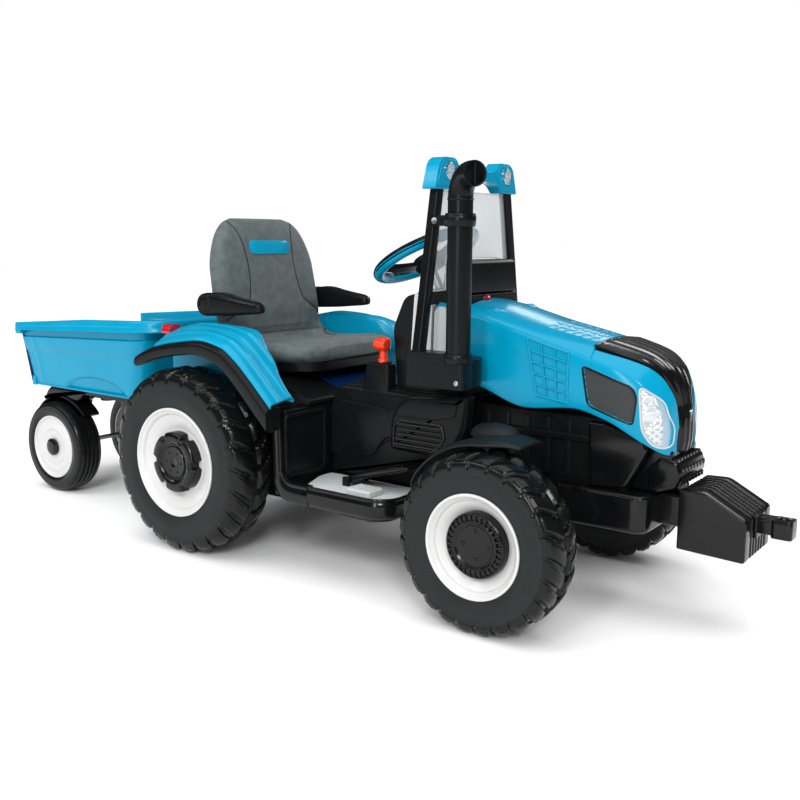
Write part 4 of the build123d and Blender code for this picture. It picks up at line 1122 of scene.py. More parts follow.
def makeMudguard(side):
    # part of a cylinder about the front axle, its radius falling with |v|^5 towards both edges,
    # with a beak in front; then a dome, an ellipsoid's upper half, and a post
    name = f"front_fender_{'right' if side < 0 else 'left'}"
    tyreLow, tyreHigh = boxOf(name.replace("fender", "tyre"))
    cx, cz = (tyreLow[0] + tyreHigh[0]) / 2, (tyreLow[2] + tyreHigh[2]) / 2
    m = mudguard
    angle = np.radians(np.linspace(m["from"], m["to"], 70))[:, None]
    v = np.linspace(-1, 1, 40)[None, :]
    middle, half = (m["inY"] + m["outY"]) / 2, (m["outY"] - m["inY"]) / 2
    beak = 1 - 0.55 * smoothStep(-np.degrees(angle), -92, -72) * np.maximum(0, v)
    tail = 1 - 0.18 * smoothStep(np.degrees(angle), 140, 160)
    y = middle + half * v * np.where(v > 0, beak, 1) * tail
    radius = m["radius"] - 5.5 * np.abs(v) ** 5 + 1.6 * np.exp(-((v - 0.62) / 0.05) ** 2)
    radius = radius - 9 * smoothStep(np.degrees(angle), 150, 160)
    points = stack3(cx + radius * np.cos(angle), -y, cz + radius * np.sin(angle))
    shell = facingOut(patch(points), (cx, -middle, cz))
    if side > 0:
        shell = mirrorPatch(shell)
    makePiece(name.replace("_", ".") + ".arched", [shell], [dullBlack],
              name.replace("front_fender", "knuckle"), [name], solid=m["wall"],
              sharpAngle=45)
    turn = np.linspace(0, 2 * math.pi, 40, endpoint=False)[None, :]
    rise = np.linspace(0, math.pi / 2, 12)[:, None]
    flat = np.cos(rise) ** 0.75
    dome = stack3(cx - 28 + 46 * flat * np.cos(turn), -176 + 30 * flat * np.sin(turn),
                  cz + m["radius"] - 9 + 22 * np.sin(rise) + 0 * turn)
    post = np.array([(13.0, 196.0), (13.0, 240.0), (15.0, 270.0), (19.0, 318.0)])
    column = stack3(cx + post[:, :1] * np.cos(turn), -185 + post[:, :1] * np.sin(turn), post[:, 1:]
                    + 0 * turn)
    parts = [patch(dome, wrapColumns=True, capEnds=True), patch(column, wrapColumns=True, capEnds=True),
             disc((cx - 28, -176, cz + m["radius"] + 12), 4, 2.4, "z", 20)]
    if side > 0:
        parts = [mirrorPatch(p) for p in parts]
    makePiece(name.replace("_", ".") + ".dome", parts, [dullBlack], name.replace("front_fender", "knuckle"),
              sharpAngle=45)


seatShape = {"centre": [(231, 410), (214, 411), (160, 409), (90, 405), (44, 405), (10, 414), (-9, 440),
                        (-14, 470), (-20, 500), (-32, 570), (-43, 630), (-49, 658), (-51, 670), (-52, 677)],
             "thick": [26, 46, 54, 51, 50, 58, 70, 72, 69, 61, 54, 45, 34, 12],
             "half": [112, 144, 167, 172, 171, 167, 153, 149, 152, 151, 133, 113, 98, 80],
             "seam": [230, 230, 230, 230, 230, 220, 190, 132, 84, 71, 78, 90, 98, 110],
             "around": 160, "along": 220, "plate": (122.0, 32.0, 0.742)}


def seatPoint(v, across, front=True, lift=0.0):
    # a point of the pad: v along its middle line, across in millimetres from the middle plane; it
    # stands (1 - u^4)^0.42 of half the thickness off the line, u being across / half, plus relief
    knots = np.linspace(0, 1, len(seatShape["centre"]))
    centre = np.array(seatShape["centre"], float)
    v, across = np.broadcast_arrays(np.asarray(v, float), np.asarray(across, float))
    x, z = through(v, knots, centre[:, 0]), through(v, knots, centre[:, 1])
    ahead = np.stack([through(v + 0.004, knots, centre[:, 0]) - through(v - 0.004, knots, centre[:, 0]),
                      through(v + 0.004, knots, centre[:, 1]) - through(v - 0.004, knots, centre[:, 1])],
                     axis=-1)
    ahead /= np.linalg.norm(ahead, axis=-1, keepdims=True)
    thick, half = through(v, knots, seatShape["thick"]), through(v, knots, seatShape["half"])
    u = np.clip(np.abs(across) / half, 0, 1)
    out = (1 - u ** 4) ** 0.42 * thick / 2
    if front:
        out = out + seatRelief(v, across, u) * (1 - u ** 8)
    out = out + lift
    side = 1 if front else -1
    return stack3(x + side * ahead[..., 1] * out, across, z - side * ahead[..., 0] * out)


def seatRelief(v, across, u):
    # dished pan, crowned back panel, fuller bolsters outside the seams, a groove along each seam
    knots = np.linspace(0, 1, len(seatShape["seam"]))
    seam = through(v, knots, seatShape["seam"])
    ahead, behind = (through(v + step, knots, seatShape["seam"]) for step in (0.004, -0.004))
    slope = (ahead - behind) / 0.008 / 560
    off = (np.abs(across) - seam) / np.sqrt(1 + slope ** 2)
    onBack = smoothStep(v, 0.5, 0.6)
    middle = 3.0 * np.cos(np.clip(across / 120, -1, 1) * math.pi / 2) * onBack
    room = np.maximum(through(v, knots, seatShape["half"]) - seam, 12)
    bolster = 7.0 * np.sin(np.clip((np.abs(across) - seam) / room, 0, 1) * math.pi * 0.62)
    groove = -3.6 * np.exp(-(off / 3.0) ** 2)
    dish = -7.0 * smoothStep(1 - u, 0.1, 0.42) * smoothStep(v, 0.1, 0.2) * (1 - smoothStep(v, 0.34, 0.46))
    ends = smoothStep(v, 0.03, 0.1) * smoothStep(1 - v, 0.0, 0.1)
    return (middle + bolster + groove + dish) * ends - 2.0


def makeSeat():
    # rows along the middle line; each row goes round a flattened oval, front face then back face
    v = (1 - np.cos(np.linspace(0, math.pi, seatShape["along"]))) / 2
    v = 0.35 * v + 0.65 * np.linspace(0, 1, seatShape["along"])
    knots = np.linspace(0, 1, len(seatShape["half"]))
    half = through(v, knots, seatShape["half"])[:, None]
    turn = np.linspace(0, math.pi, seatShape["around"])[None, :]
    across = half * np.sign(np.cos(turn)) * np.abs(np.cos(turn)) ** 0.8
    front = seatPoint(v[:, None], across, True)
    back = seatPoint(v[:, None], across[:, ::-1], False)
    pad = patch(np.concatenate([front, back[:, 1:-1]], axis=1), wrapColumns=True, capEnds=True)
    piece = makePiece("seat.pad.sewn", [pad], [seatVinyl], "seat", ["seat_pad"],
                      sharpAngle=60)
    seams = []
    line = np.linspace(0.522, 0.93, 140)
    seam = through(line, knots, seatShape["seam"])
    edge = through(line, knots, seatShape["half"])
    line, seam = line[seam < edge - 3], seam[seam < edge - 3]
    for side in (-1, 1):
        seams.append(tube(seatPoint(line, side * seam, True, 0.3), 1.5, 10))
        corner = np.linspace(0, 1, 30)
        seams.append(tube(seatPoint(0.25 + 0.14 * corner, side * (118 + 34 * corner ** 2), True, 0.0), 1.2,
                          10))
    makePiece("seat.piping", seams, [seamBlack], "seat", sharpAngle=60)
    wide, tall, middle = seatShape["plate"]
    outline = alongLoop(roundedLoop([(-wide / 2, -tall / 2), (wide / 2, -tall / 2), (wide / 2, tall / 2),
                                     (-wide / 2, tall / 2)],
                                    13, 8), 120, closed=True)
    rows = [seatPoint(middle + outline[:, 1] * k / 820, outline[:, 0] * k, True, h)
            for k, h in ((1.0, -1.5), (1.0, 1.2), (0.98, 1.8), (0.6, 1.9), (0.25, 1.9))]
    plate = patch(np.stack(rows), wrapColumns=True, capEnds=True)
    makePiece("seat.blank.plate", [plate], [shellBlue], "seat", sharpAngle=45)
    low, high = boxOf("seat_base")
    outline = roundedLoop([(-50, -142), (150, -152), (202, -132), (224, -98), (224, 98), (202, 132),
                           (150, 152), (-50, 142)], 22, 6)
    base = slab(outline, low[2], high[2] + 1, "z")
    runners = [block((-40, side * 118 - 8, low[2] - 1.5), (180, side * 118 + 8, low[2] + 4), 1)
               for side in (-1, 1)]
    makePiece("seat.base.shell", [base, *runners], [satinBlack, drawnSteel], "seat",
              ["seat_base"], bevel=3.0)


armShape = {"x": [-46, -40, -22, 20, 57, 92, 117, 129, 133],
            "mid": [500, 500, 500, 501, 499, 498, 497.5, 497, 497],
            "high": [8, 19, 24, 23, 18.5, 14, 11, 7.5, 2],
            "wide": [6, 13, 16, 16, 15.5, 15, 13, 8.5, 3]}


def makeArmrest(side):
    # an oval section, |cos| and |sin| of its angle to a power under one, carried along the arm
    name = f"armrest_{'right' if side < 0 else 'left'}"
    low, high = boxOf(name)
    x = np.linspace(armShape["x"][0], armShape["x"][-1], 110)
    mid, tall, wide = (through(x, armShape["x"], armShape[k])[:, None] for k in ("mid", "high", "wide"))
    turn = np.linspace(0, 2 * math.pi, 72, endpoint=False)[None, :]
    middle = abs(low[1] + high[1]) / 2
    y = wide * np.sign(np.cos(turn)) * np.abs(np.cos(turn)) ** 0.45
    z = tall * np.sign(np.sin(turn)) * np.abs(np.sin(turn)) ** 0.5
    start, end = smoothStep(x, -6, 6)[:, None], 1 - smoothStep(x, 112, 126)[:, None]
    ledge = smoothStep(np.sin(turn), 0.35, 0.5) * start * end
    z = z + 1.8 * ledge
    y = y * (1 - 0.1 * ledge)
    arm = patch(stack3(x[:, None], middle + y, mid + z), wrapColumns=True, capEnds=True)
    hub = turnedAboutY([(middle - 15, 0), (middle - 15, 22), (middle + 14, 22.5), (middle + 16, 20.5),
                        (middle + 16, 15), (middle + 13.5, 13), (middle + 13.5, 0)], (-22, 500), 48)
    screw = disc((-22, middle + 13.5, 500), 6.5, 1.6, "y", 24, 1, 0.6)
    slots = [block((-22 - a, middle + 14.6, 500 - b), (-22 + a, middle + 15.9, 500 + b), 2)
             for a, b in ((4, 0.9), (0.9, 4))]
    parts = [arm, hub, screw, *slots]
    if side < 0:
        parts = [mirrorPatch(p) for p in parts]
    makePiece(name.replace("_", ".") + ".moulded", parts, [satinBlack, drawnSteel, seamBlack],
              name, [name], sharpAngle=45)


def makeRearBody():
    # the dark body under the seat, one outline carried across, with side panels and seat rails; its middle
    # panels and ledge are navy, painted shade on the blue plastic
    outline = roundedLoop([(-112, 303), (-112, 350), (-72, 367), (150, 367), (262, 329), (262, 319),
                           (230, 319), (230, 303)], [2, 12, 16, 30, 6, 2, 2, 2], 6)
    half = fenderLine["inY"] - 0.5
    parts = [slab(outline, -half, half, "y", 1)]
    for y in (-116, 116):
        parts.append(block((-70, y - 14, 364), (150, y + 14, 370.5), 1))
    # the middle panels and the ledge in navy: painted shade on the blue plastic
    for y in (-36, 0, 36):
        parts.append(slab(roundedLoop([(154, 365.5), (252, 331.5), (252, 335.5), (156, 368.5)], 3, 4),
                          y - 9, y + 9, "y"))
    ledge = roundedLoop([(118, 340), (118, 369), (152, 369), (263, 331.5), (263, 318), (230, 318)],
                        [3, 5, 20, 5, 3, 3], 6)
    parts.append(slab(ledge, -66, 66, "y"))
    makePiece("rear.body.moulded", parts, [paintedShadeNavy, satinBlack], "tractor", ["rear_body"],
              bevel=3.0)


for side in (-1, 1):
    makeFender(side)
    makeMudguard(side)
    makeArmrest(side)
makeLiners()
makeSeat()
makeRearBody()
print("fenders and seat ready")


wheelPlace = jointPlace["steering_turn"] - origin
wheelAxis = np.array(next(j["axis"] for j in frame["joints"] if j["name"] == "steering_turn"))
wheelAhead = np.array([wheelAxis[2], 0.0, -wheelAxis[0]])
wheelShape = {"ring": 98.0, "high": 10.5, "wide": 11.5, "hub": 31.0, "grips": 10}


def onWheel(local):
    # from the wheel's own x, y, height coordinates to the tractor's
    local = np.asarray(local, float)
    return (wheelPlace + local[..., :1] * wheelAhead + local[..., 1:2] * np.array([0.0, 1.0, 0.0])
            + local[..., 2:] * wheelAxis)


def makeSteeringWheel():
    # an oval ring, black over blue, with finger waves inside; spokes and a stepped hub
    turn = np.linspace(0, 2 * math.pi, 200, endpoint=False)[:, None]
    w = wheelShape

    def band(start, end, finish, grow):
        around = np.radians(np.linspace(start, end, 22))[None, :]
        wave = 0.5 * np.cos(turn * w["grips"] * 3) * smoothStep(-np.cos(around), 0.3, 1.0)
        across = (w["wide"] + grow) * np.cos(around) + wave
        ring = w["ring"] + across
        local = stack3(ring * np.cos(turn), ring * np.sin(turn), (w["high"] + grow) * np.sin(around))
        return patch(onWheel(local), wrapRows=True, wrapColumns=end - start > 359, finish=finish)

    black = band(10, 184, 0, 0.5)
    blue = band(0, 345, 1, 0.0)
    parts = [black, blue]
    for spoke in np.radians([0, 120, 240]):
        run = np.linspace(0, 1, 12)[:, None]
        section = roundedLoop([(-1, -4), (1, -4), (1, 4), (-1, 4)], 0.5, 4)
        half = 20 - 8 * np.sin(run * math.pi / 2)
        out = w["hub"] - 8 + (w["ring"] - w["hub"] + 4) * run
        drop = -16 + 15 * run ** 1.5
        a, b = out + 0 * section[None, :, 0], half * section[None, :, 0]
        local = stack3(a * math.cos(spoke) - b * math.sin(spoke), a * math.sin(spoke) + b * math.cos(spoke),
                       drop + section[None, :, 1])
        parts.append(patch(onWheel(local), wrapColumns=True, capEnds=True))
    profile = roundedLoop([(-30, 0), (-30, 26), (-20, 31), (-9, 31), (-5, 29), (-1, 26), (0, 20),
                           (-1.5, 18), (-1.5, 0)], 2.5, 4, closed=False)
    angle = np.linspace(0, 2 * math.pi, 60, endpoint=False)[:, None]
    local = stack3(profile[None, :, 1] * np.cos(angle), profile[None, :, 1] * np.sin(angle),
                   profile[None, :, 0] + 0 * angle)
    parts.append(patch(onWheel(local), wrapRows=True))
    makePiece("steering.wheel.banded", parts, [satinBlack, shellBlue], "steering",
              ["steering_wheel"], sharpAngle=50)


def makeDash():
    # the cowl: one side outline carried across and a hooded instrument block
    half = boxOf("dash_cowl")[1][1]
    cowl = roundedLoop([(405, 357), (393, 470), (420, 531), (500, 551), (506, 545), (559, 538), (559, 353)],
                       [4, 14, 14, 4, 2, 2, 2], 6)
    hood = roundedLoop([(503, 545), (511, 601), (555, 599), (559, 541)], [4, 9, 9, 3], 6)
    parts = [slab(cowl, -half, half, "y"), slab(hood, -min(half - 2, 102), min(half - 2, 102), "y")]
    makePiece("dash.cowl.moulded", parts, [satinBlack], stands=["dash_cowl"], bevel=5.0,
              bevelSteps=4)
    extra = []
    tilt = math.atan2(20, 80)
    for y in (-46, 0, 46):
        face = disc((0, 0, 0), 17 if y else 22, 2.4, "z", 36, 1)
        points = face[0]
        turned = np.stack([points[:, 0] * math.cos(tilt) - points[:, 2] * math.sin(tilt), points[:, 1],
                           points[:, 0] * math.sin(tilt) + points[:, 2] * math.cos(tilt)], axis=-1)
        extra.append((turned + [462, y, 541.5], face[1], 0))
        glass = turned * [0.8, 0.8, 1] + [462, y, 542.6]
        extra.append((glass, face[1], 1))
    for y in (-66, -54, 54, 66):
        extra.append(disc((398.5, y, 452), 5, -2.5, "x", 20, 2))
    for i in range(6):
        z = 556 + i * 6.4
        extra.append(block((506.0 + (z - 551) * 0.14, -60, z), (508.5 + (z - 551) * 0.14, 60, z + 2.6), 0))
    makePiece("dash.dials", extra, [satinBlack, plainGrey, lampRed], bevel=0.6)
    trim = roundedLoop([(478, 393), (486, 519), (493, 519), (489, 393)], 3, 4)
    panel = roundedLoop([(497, 395), (500, 508), (508, 518), (524, 517), (538, 503), (562, 498),
                         (562, 395)],
                        [3, 8, 8, 6, 6, 3, 3], 5)
    strip = roundedLoop([(446, 392), (456, 536), (461, 542), (465, 536), (455, 392)], 3, 4)
    bits = []
    for side in (-1, 1):
        y0, y1 = sorted((side * 88.5, side * 103.5))
        bits.append(slab(trim, y0, y1, "y"))
        bits.append(slab(strip, *sorted((side * 100, side * 107.5)), "y"))
        bits.append(slab(panel, *sorted((side * 101, side * 106.2)), "y"))
        latch = np.array([540, side * 106, 470])
        bits.append(block(latch - [9, 1.5, 10], latch + [9, 0.8, 10], 1))
        bits.append(disc(latch, 3.4, side * 1.4, "y", 20, 2))
    makePiece("dash.side.trim", bits, [plainGrey, satinBlack, drawnSteel], "tractor",
              ["dash_trim"], bevel=1.0)


pillarShape = {"foot": (-178.0, 384.0), "top": (-118.0, 724.0), "deep": 20.0, "footWide": 24.0,
               "topWide": 20.0, "back": 500.0}


def makeFrame():
    # two leaning pillars of rounded section, the arched roof bar and its lamp seats
    p = pillarShape
    bars = []
    for side in (-1, 1):
        run = np.linspace(0, 1, 14)[:, None]
        section = roundedLoop([(-0.5, -0.5), (0.5, -0.5), (0.5, 0.5), (-0.5, 0.5)], 0.3, 5)
        wide = p["footWide"] + (p["topWide"] - p["footWide"]) * run
        y = p["foot"][0] + (p["top"][0] - p["foot"][0]) * run + wide * section[None, :, 0]
        z = p["foot"][1] + (p["top"][1] - p["foot"][1]) * run + 0 * section[None, :, 0]
        x = p["back"] + p["deep"] / 2 + p["deep"] * section[None, :, 1] + 0 * run
        bars.append(patch(stack3(x, -side * y, z), wrapColumns=True, capEnds=True))
    makePiece("windscreen.frame.bars", bars, [satinBlack], stands=["windscreen_frame"],
              sharpAngle=50)
    low, high = boxOf("roof_bar")
    top = [(-142, 724), (-127, 771), (-113, 780), (-76, 780), (-60, 762), (60, 762), (76, 780), (113, 780),
           (127, 771), (142, 724), (88, 724), (68, 741), (0, 744), (-68, 741), (-88, 724)]
    outline = roundedLoop(top, [4, 10, 8, 8, 10, 10, 8, 8, 10, 4, 3, 14, 20, 14, 3], 6)
    raised = [roundedLoop(np.array([(-136, 730), (-122, 769), (-112, 776), (-79, 776), (-66, 762),
                                    (-70, 746), (-88, 731)]) * [s, 1], [4, 8, 6, 6, 6, 8, 4], 5)
              for s in (1, -1)]
    parts = [slab(outline, low[0] + 2, high[0] - 2, "x")]
    parts += [slab(r, low[0], high[0] - 0.4, "x") for r in raised]
    makePiece("roof.bar.moulded", parts, [shellBlue], "tractor", ["roof_bar"], bevel=2.4)
    lights = []
    x = high[0] - 2
    for y in (-99, 99):
        rows = np.array([[0, 14.5], [4.5, 14.5], [5, 13.5], [4.6, 12.2], [1.5, 11.6], [0.6, 8], [0.2, 4],
                         [0, 0.01]])
        angle = np.linspace(0, 2 * math.pi, 72, endpoint=False)[:, None]
        flute = 0.7 * np.abs(np.sin(angle * 4)) * (rows[None, :, 1] < 11) * (rows[None, :, 1] > 3)
        points = stack3(x + rows[None, :, 0] + flute, y + rows[None, :, 1] * np.cos(angle),
                        756 + rows[None, :, 1] * np.sin(angle))
        lights.append(patch(points, wrapRows=True))
        lights.append(ball((x + 2.5, y, 756), (2.6, 3.4, 3.4), finish=1))
        for bar in (block((x + 2.2, y - 11.5, 755.2), (x + 3.4, y + 11.5, 756.8), 2),
                    block((x + 2.2, y - 0.8, 744.5), (x + 3.4, y + 0.8, 767.5), 2)):
            lights.append(bar)
        lights.append(disc((x + 3.4, y, 756), 12.6, 1.2, "x", 48, 1, 0.6))
    makePiece("work.lights.fluted", lights, [chromeBright, lensClear, plainGrey], "tractor",
              ["work_lights"], sharpAngle=50)


def makeWindscreen():
    # a thin smoked sheet between the pillars, round its top corners, with a pale bead on its edge
    low, high = boxOf("windscreen")
    outline = roundedLoop([(-147, 546), (-117, 722), (117, 722), (147, 546), (88.6, 546), (88.6, 602.6),
                           (-88.6, 602.6), (-88.6, 546)], [2, 10, 10, 2, 1, 1, 1, 1], 6)
    makePiece("windscreen.sheet", [slab(outline, low[0] + 0.5, high[0] - 0.5, "x")], [screenClear],
              "tractor", ["windscreen"], bevel=0.4)
    bead = alongLoop(outline, 260, closed=True)
    path = stack3(high[0] - 0.6, bead[:, 0], bead[:, 1])
    makePiece("windscreen.edge", [tube(path, 1.1, 8, closed=True)], [rimWhite], "tractor",
              sharpAngle=60)


stackShape = {"x": 603.0, "y": -185.0, "radius": 21.0, "foot": 430.0, "bend": 36.0, "top": 742.0,
              "out": (0.8713, -0.4907), "lead": 12.0}


def makeStack():
    # a pipe up its axis and round a quarter bend, its outlet closed by a sunken plate; a clamp
    s = stackShape
    turn = np.linspace(0, math.pi / 2, 26)
    rise = s["top"] - s["bend"]
    up = stack3(s["x"], s["y"], np.linspace(s["foot"], rise, 30)[:-1])
    reach = s["bend"] * (1 - np.cos(turn))
    bend = stack3(s["x"] + s["out"][0] * reach, s["y"] + s["out"][1] * reach, rise
                  + s["bend"] * np.sin(turn))
    lead = s["bend"] + np.linspace(0, s["lead"], 6)[1:]
    out = stack3(s["x"] + s["out"][0] * lead, s["y"] + s["out"][1] * lead, s["top"])
    path = np.concatenate([up, bend, out])
    parts = [tube(path, s["radius"], 56, capEnds=True)]
    mouth = np.array([[0, 1.0], [1.4, 0.985], [1.6, 0.93], [0.4, 0.88], [-0.4, 0.84], [-0.6, 0.4],
                      [-0.6, 0.0]])
    angle = np.linspace(0, 2 * math.pi, 56, endpoint=False)[None, :]
    r = s["radius"] * mouth[:, 1:]
    end = path[-1]
    ahead = np.array([s["out"][0], s["out"][1], 0.0])
    across = np.array([-s["out"][1], s["out"][0], 0.0])
    points = (end + mouth[:, :1, None] * ahead + (r * np.cos(angle))[..., None] * across
              + (r * np.sin(angle))[..., None] * np.array([0, 0, 1.0]))
    parts.append(patch(points, wrapColumns=True, capEnds=True))
    rib = end + 0.4 * ahead
    parts.append(tube([rib + np.array([0, 0, k]) * s["radius"] * 0.8 for k in (-1, 0, 1)], 2.2, 12))
    for z0, z1, grow in ((658, 680, 4.6), (661, 677, 5.4), (430, 446, 4.0), (701, 705, 1.2)):
        ring = np.array([[z0, s["radius"] - 2], [z0, s["radius"] + grow - 1], [z0 + 1, s["radius"] + grow],
                         [z1 - 1, s["radius"] + grow], [z1, s["radius"] + grow - 1], [z1, s["radius"] - 2]])
        band = stack3(s["x"] + ring[:, 1:] * np.cos(angle), s["y"] + ring[:, 1:] * np.sin(angle),
                      ring[:, :1] + 0 * angle)
        parts.append(patch(band, wrapColumns=True, wrapRows=True))
    arm = roundedLoop([(515, -139), (515, -125), (560, -146), (592, -158), (592, -176)], [3, 3, 6, 4, 4], 5)
    parts.append(slab(arm, 660, 678, "z"))
    parts.append(disc((521, -126, 669), 5, 3, "y", 20, 1, 0.8))
    parts.append(disc((524, -143, 669), 6, -3.4, "y", 20, 1, 0.8))
    makePiece("exhaust.stack.bent", parts, [satinBlack, drawnSteel], stands=["exhaust_stack"],
              sharpAngle=45)


def makeBrackets():
    # rounded boxes at the pillars' feet, a collar for the stack, steps and cross-head screws
    parts, screws = [], []
    for side in (-1, 1):
        x0, x1 = (504, 624) if side < 0 else (498, 541)
        shell = roundedLoop([(x0, 0), (x1, 0), (x1, 37), (x0, 37)], [4, 9, 9, 9], 6)
        shell = shell * [1, side] + [0, side * 167]
        parts.append(slab(shell, 386, 446, "z", taper=0.015))
        inner = roundedLoop([(x0 + 16, 0), (x1 - 20, 0), (x1 - 3, 34), (x1 - 3, 66), (x0 + 16, 66)],
                            [5, 16, 12, 4, 5], 5)
        parts.append(slab(inner * [1, side] + [0, side * 105.5], 387, 434, "z"))
        band = roundedLoop([(x0 - 1, -0.5), (x1 + 0.8, -0.5), (x1 + 0.8, 37.8), (x0 - 1, 37.8)], 10, 6)
        band = band * [1, side] + [0, side * 166.8]
        parts.append(slab(band, 438, 442, "z"))
        screws.append(disc((x1 - 12, side * 203.6, 398), 4.6, side * 1.6, "y", 20, 0, side * 0.7))
    makePiece("pillar.brackets.moulded", parts, [satinBlack], stands=["pillar_brackets"],
              bevel=3.0)
    makePiece("bracket.screws", screws, [drawnSteel], "tractor", sharpAngle=50)


makeSteeringWheel()
makeDash()
makeFrame()
makeWindscreen()
makeStack()
makeBrackets()
print("cockpit ready")


def offsetLoop(outline, out):
    # a closed 2-D outline moved outwards along its own normals
    outline = np.asarray(outline, float)
    along = np.roll(outline, -1, axis=0) - np.roll(outline, 1, axis=0)
    along /= np.maximum(np.linalg.norm(along, axis=1, keepdims=True), 1e-9)
    area = (outline[:, 0] * np.roll(outline[:, 1], -1) - np.roll(outline[:, 0], -1) * outline[:, 1]).sum()
    normal = np.stack([along[:, 1], -along[:, 0]], axis=-1) * (1 if area > 0 else -1)
    return outline + normal * out


def skirted(outline, profile, axis="z", finish=0, count=220):
    # rings of an outline, each moved outwards and raised by one (out, height) pair of the profile
    outline = alongLoop(outline, count, closed=True) if count else outline
    rows = []
    for out, height in profile:
        a, b = offsetLoop(outline, out).T
        rows.append({"x": stack3(height, a, b), "y": stack3(a, height, b), "z": stack3(a, b, height)}[axis])
    return patch(np.stack(rows), wrapColumns=True, capEnds=True, finish=finish)


def softSlab(outline, low, high, axis="z", radius=4.0, finish=0, count=220):
    # a slab whose two rims are quarter rounds: out = -radius * (1 - cos t), height = radius * sin t
    turn = np.linspace(0, math.pi / 2, 5)
    start = [(-radius * (1 - math.cos(t)), low + radius * (1 - math.sin(t))) for t in turn[::-1]]
    end = [(-radius * (1 - math.cos(t)), high - radius * (1 - math.sin(t))) for t in turn]
    return skirted(outline, start + end, axis, finish, count)


def softBlock(low, high, radius=4.0, corner=6.0, axis="z", finish=0):
    # a box with rounded uprights and rounded rims
    order = {"x": (1, 2, 0), "y": (0, 2, 1), "z": (0, 1, 2)}[axis]
    a0, b0, c0 = (min(low[i], high[i]) for i in order)
    a1, b1, c1 = (max(low[i], high[i]) for i in order)
    outline = roundedLoop([(a0, b0), (a1, b0), (a1, b1), (a0, b1)], corner, 6)
    return softSlab(outline, c0, c1, axis, radius, finish, 0)


floorShape = {"turn": 300.0, "front": 478.0, "nose": 506.0, "half": 258.0, "corner": 226.0,
              "top": 184.5, "well": 172.0, "bottom": 144.0}


def makeFootShell():
    # one rounded outline with the shell's own wall profile carried round it, and a step below
    f = floorShape
    outline = roundedLoop([(f["turn"], -f["half"]), (f["front"], -f["half"]), (f["nose"], -f["corner"]),
                           (f["nose"], f["corner"]), (f["front"], f["half"]), (f["turn"], f["half"])],
                          [4, 24, 16, 16, 24, 4], 8)
    profile = [(-9.5, f["well"]), (-8, f["well"] + 0.5), (-7, 176), (-6.4, 181), (-5, 184),
               (-2.6, f["top"]), (-0.8, 183.4), (-0.2, 181), (-1.8, 178.6), (-1.8, 176.6), (0, 175),
               (0, 168), (-0.3, 156), (-1.2, 150), (-4, 146), (-9, f["bottom"])]
    parts = [skirted(outline, profile, count=260)]
    points = parts[0][0]
    flat = (points[:, 0] < f["turn"] + 14) & (np.abs(points[:, 1]) < f["half"] - 12)
    points[flat, 2] = np.minimum(points[flat, 2], f["well"] - 1)     # no lip across the turned-up end
    inside = f["half"] - 12
    parts.append(softSlab([(232, -inside), (312, -inside), (312, inside), (232, inside)], 152, f["well"],
                          radius=1))
    # the wall turns up behind the feet: rows between an under edge and an upper edge, lip along the upper one
    under = alongLoop(roundedLoop([(322, 144), (236, 146), (234, 320)], 46, 12, closed=False), 40)
    upper = alongLoop(roundedLoop([(322, 184.5), (259, 186), (256, 318)], 28, 12, closed=False), 40)
    band = np.array([(0, 240), (0, 252), (0.03, 256), (0.12, 258), (0.66, 258), (0.72, 256), (0.76, 256),
                     (0.80, 258.5), (0.90, 259.5), (0.98, 258), (1, 254), (1, 246), (0.95, 240)])[None]
    for side in (-1, 1):
        mix = band[..., :1]
        edge = under[:, None, :] * (1 - mix) + upper[:, None, :] * mix
        parts.append(patch(stack3(edge[..., 0], side * band[..., 1], edge[..., 1]), wrapColumns=True,
                           capEnds=True))
    step = roundedLoop([(380, -250), (470, -250), (492, -222), (492, 222), (470, 250), (380, 250)],
                       [14, 14, 10, 10, 14, 14], 6)
    parts.append(softSlab(step, 139, 150, radius=3))
    makePiece("foot.shell.rounded", parts, [glossBlack], stands=["chassis"], sharpAngle=50)
    riser = []
    wall = roundedLoop([(-244, 150), (244, 150), (244, 318), (-244, 318)], 4, 4)
    riser.append(softSlab(wall, 232.5, 258, "x", 5))
    for side in (-1, 1):
        frame = roundedLoop(np.array([(128, 186), (248, 186), (248, 310), (128, 310)]) * [side, 1], 12, 6)
        inner = offsetLoop(alongLoop(frame, 120, closed=True), -9)
        outer = alongLoop(frame, 120, closed=True)
        rows = [stack3(x, o[:, 0], o[:, 1]) for x, o in ((257, outer), (261, outer),
                                                         (262, offsetLoop(outer, -1.2)),
                                                         (262, offsetLoop(inner, 1.2)), (261, inner),
                                                         (257, inner))]
        riser.append(patch(np.stack(rows), wrapColumns=True, wrapRows=True))
    makePiece("riser.panel", riser, [satinBlack], sharpAngle=50)


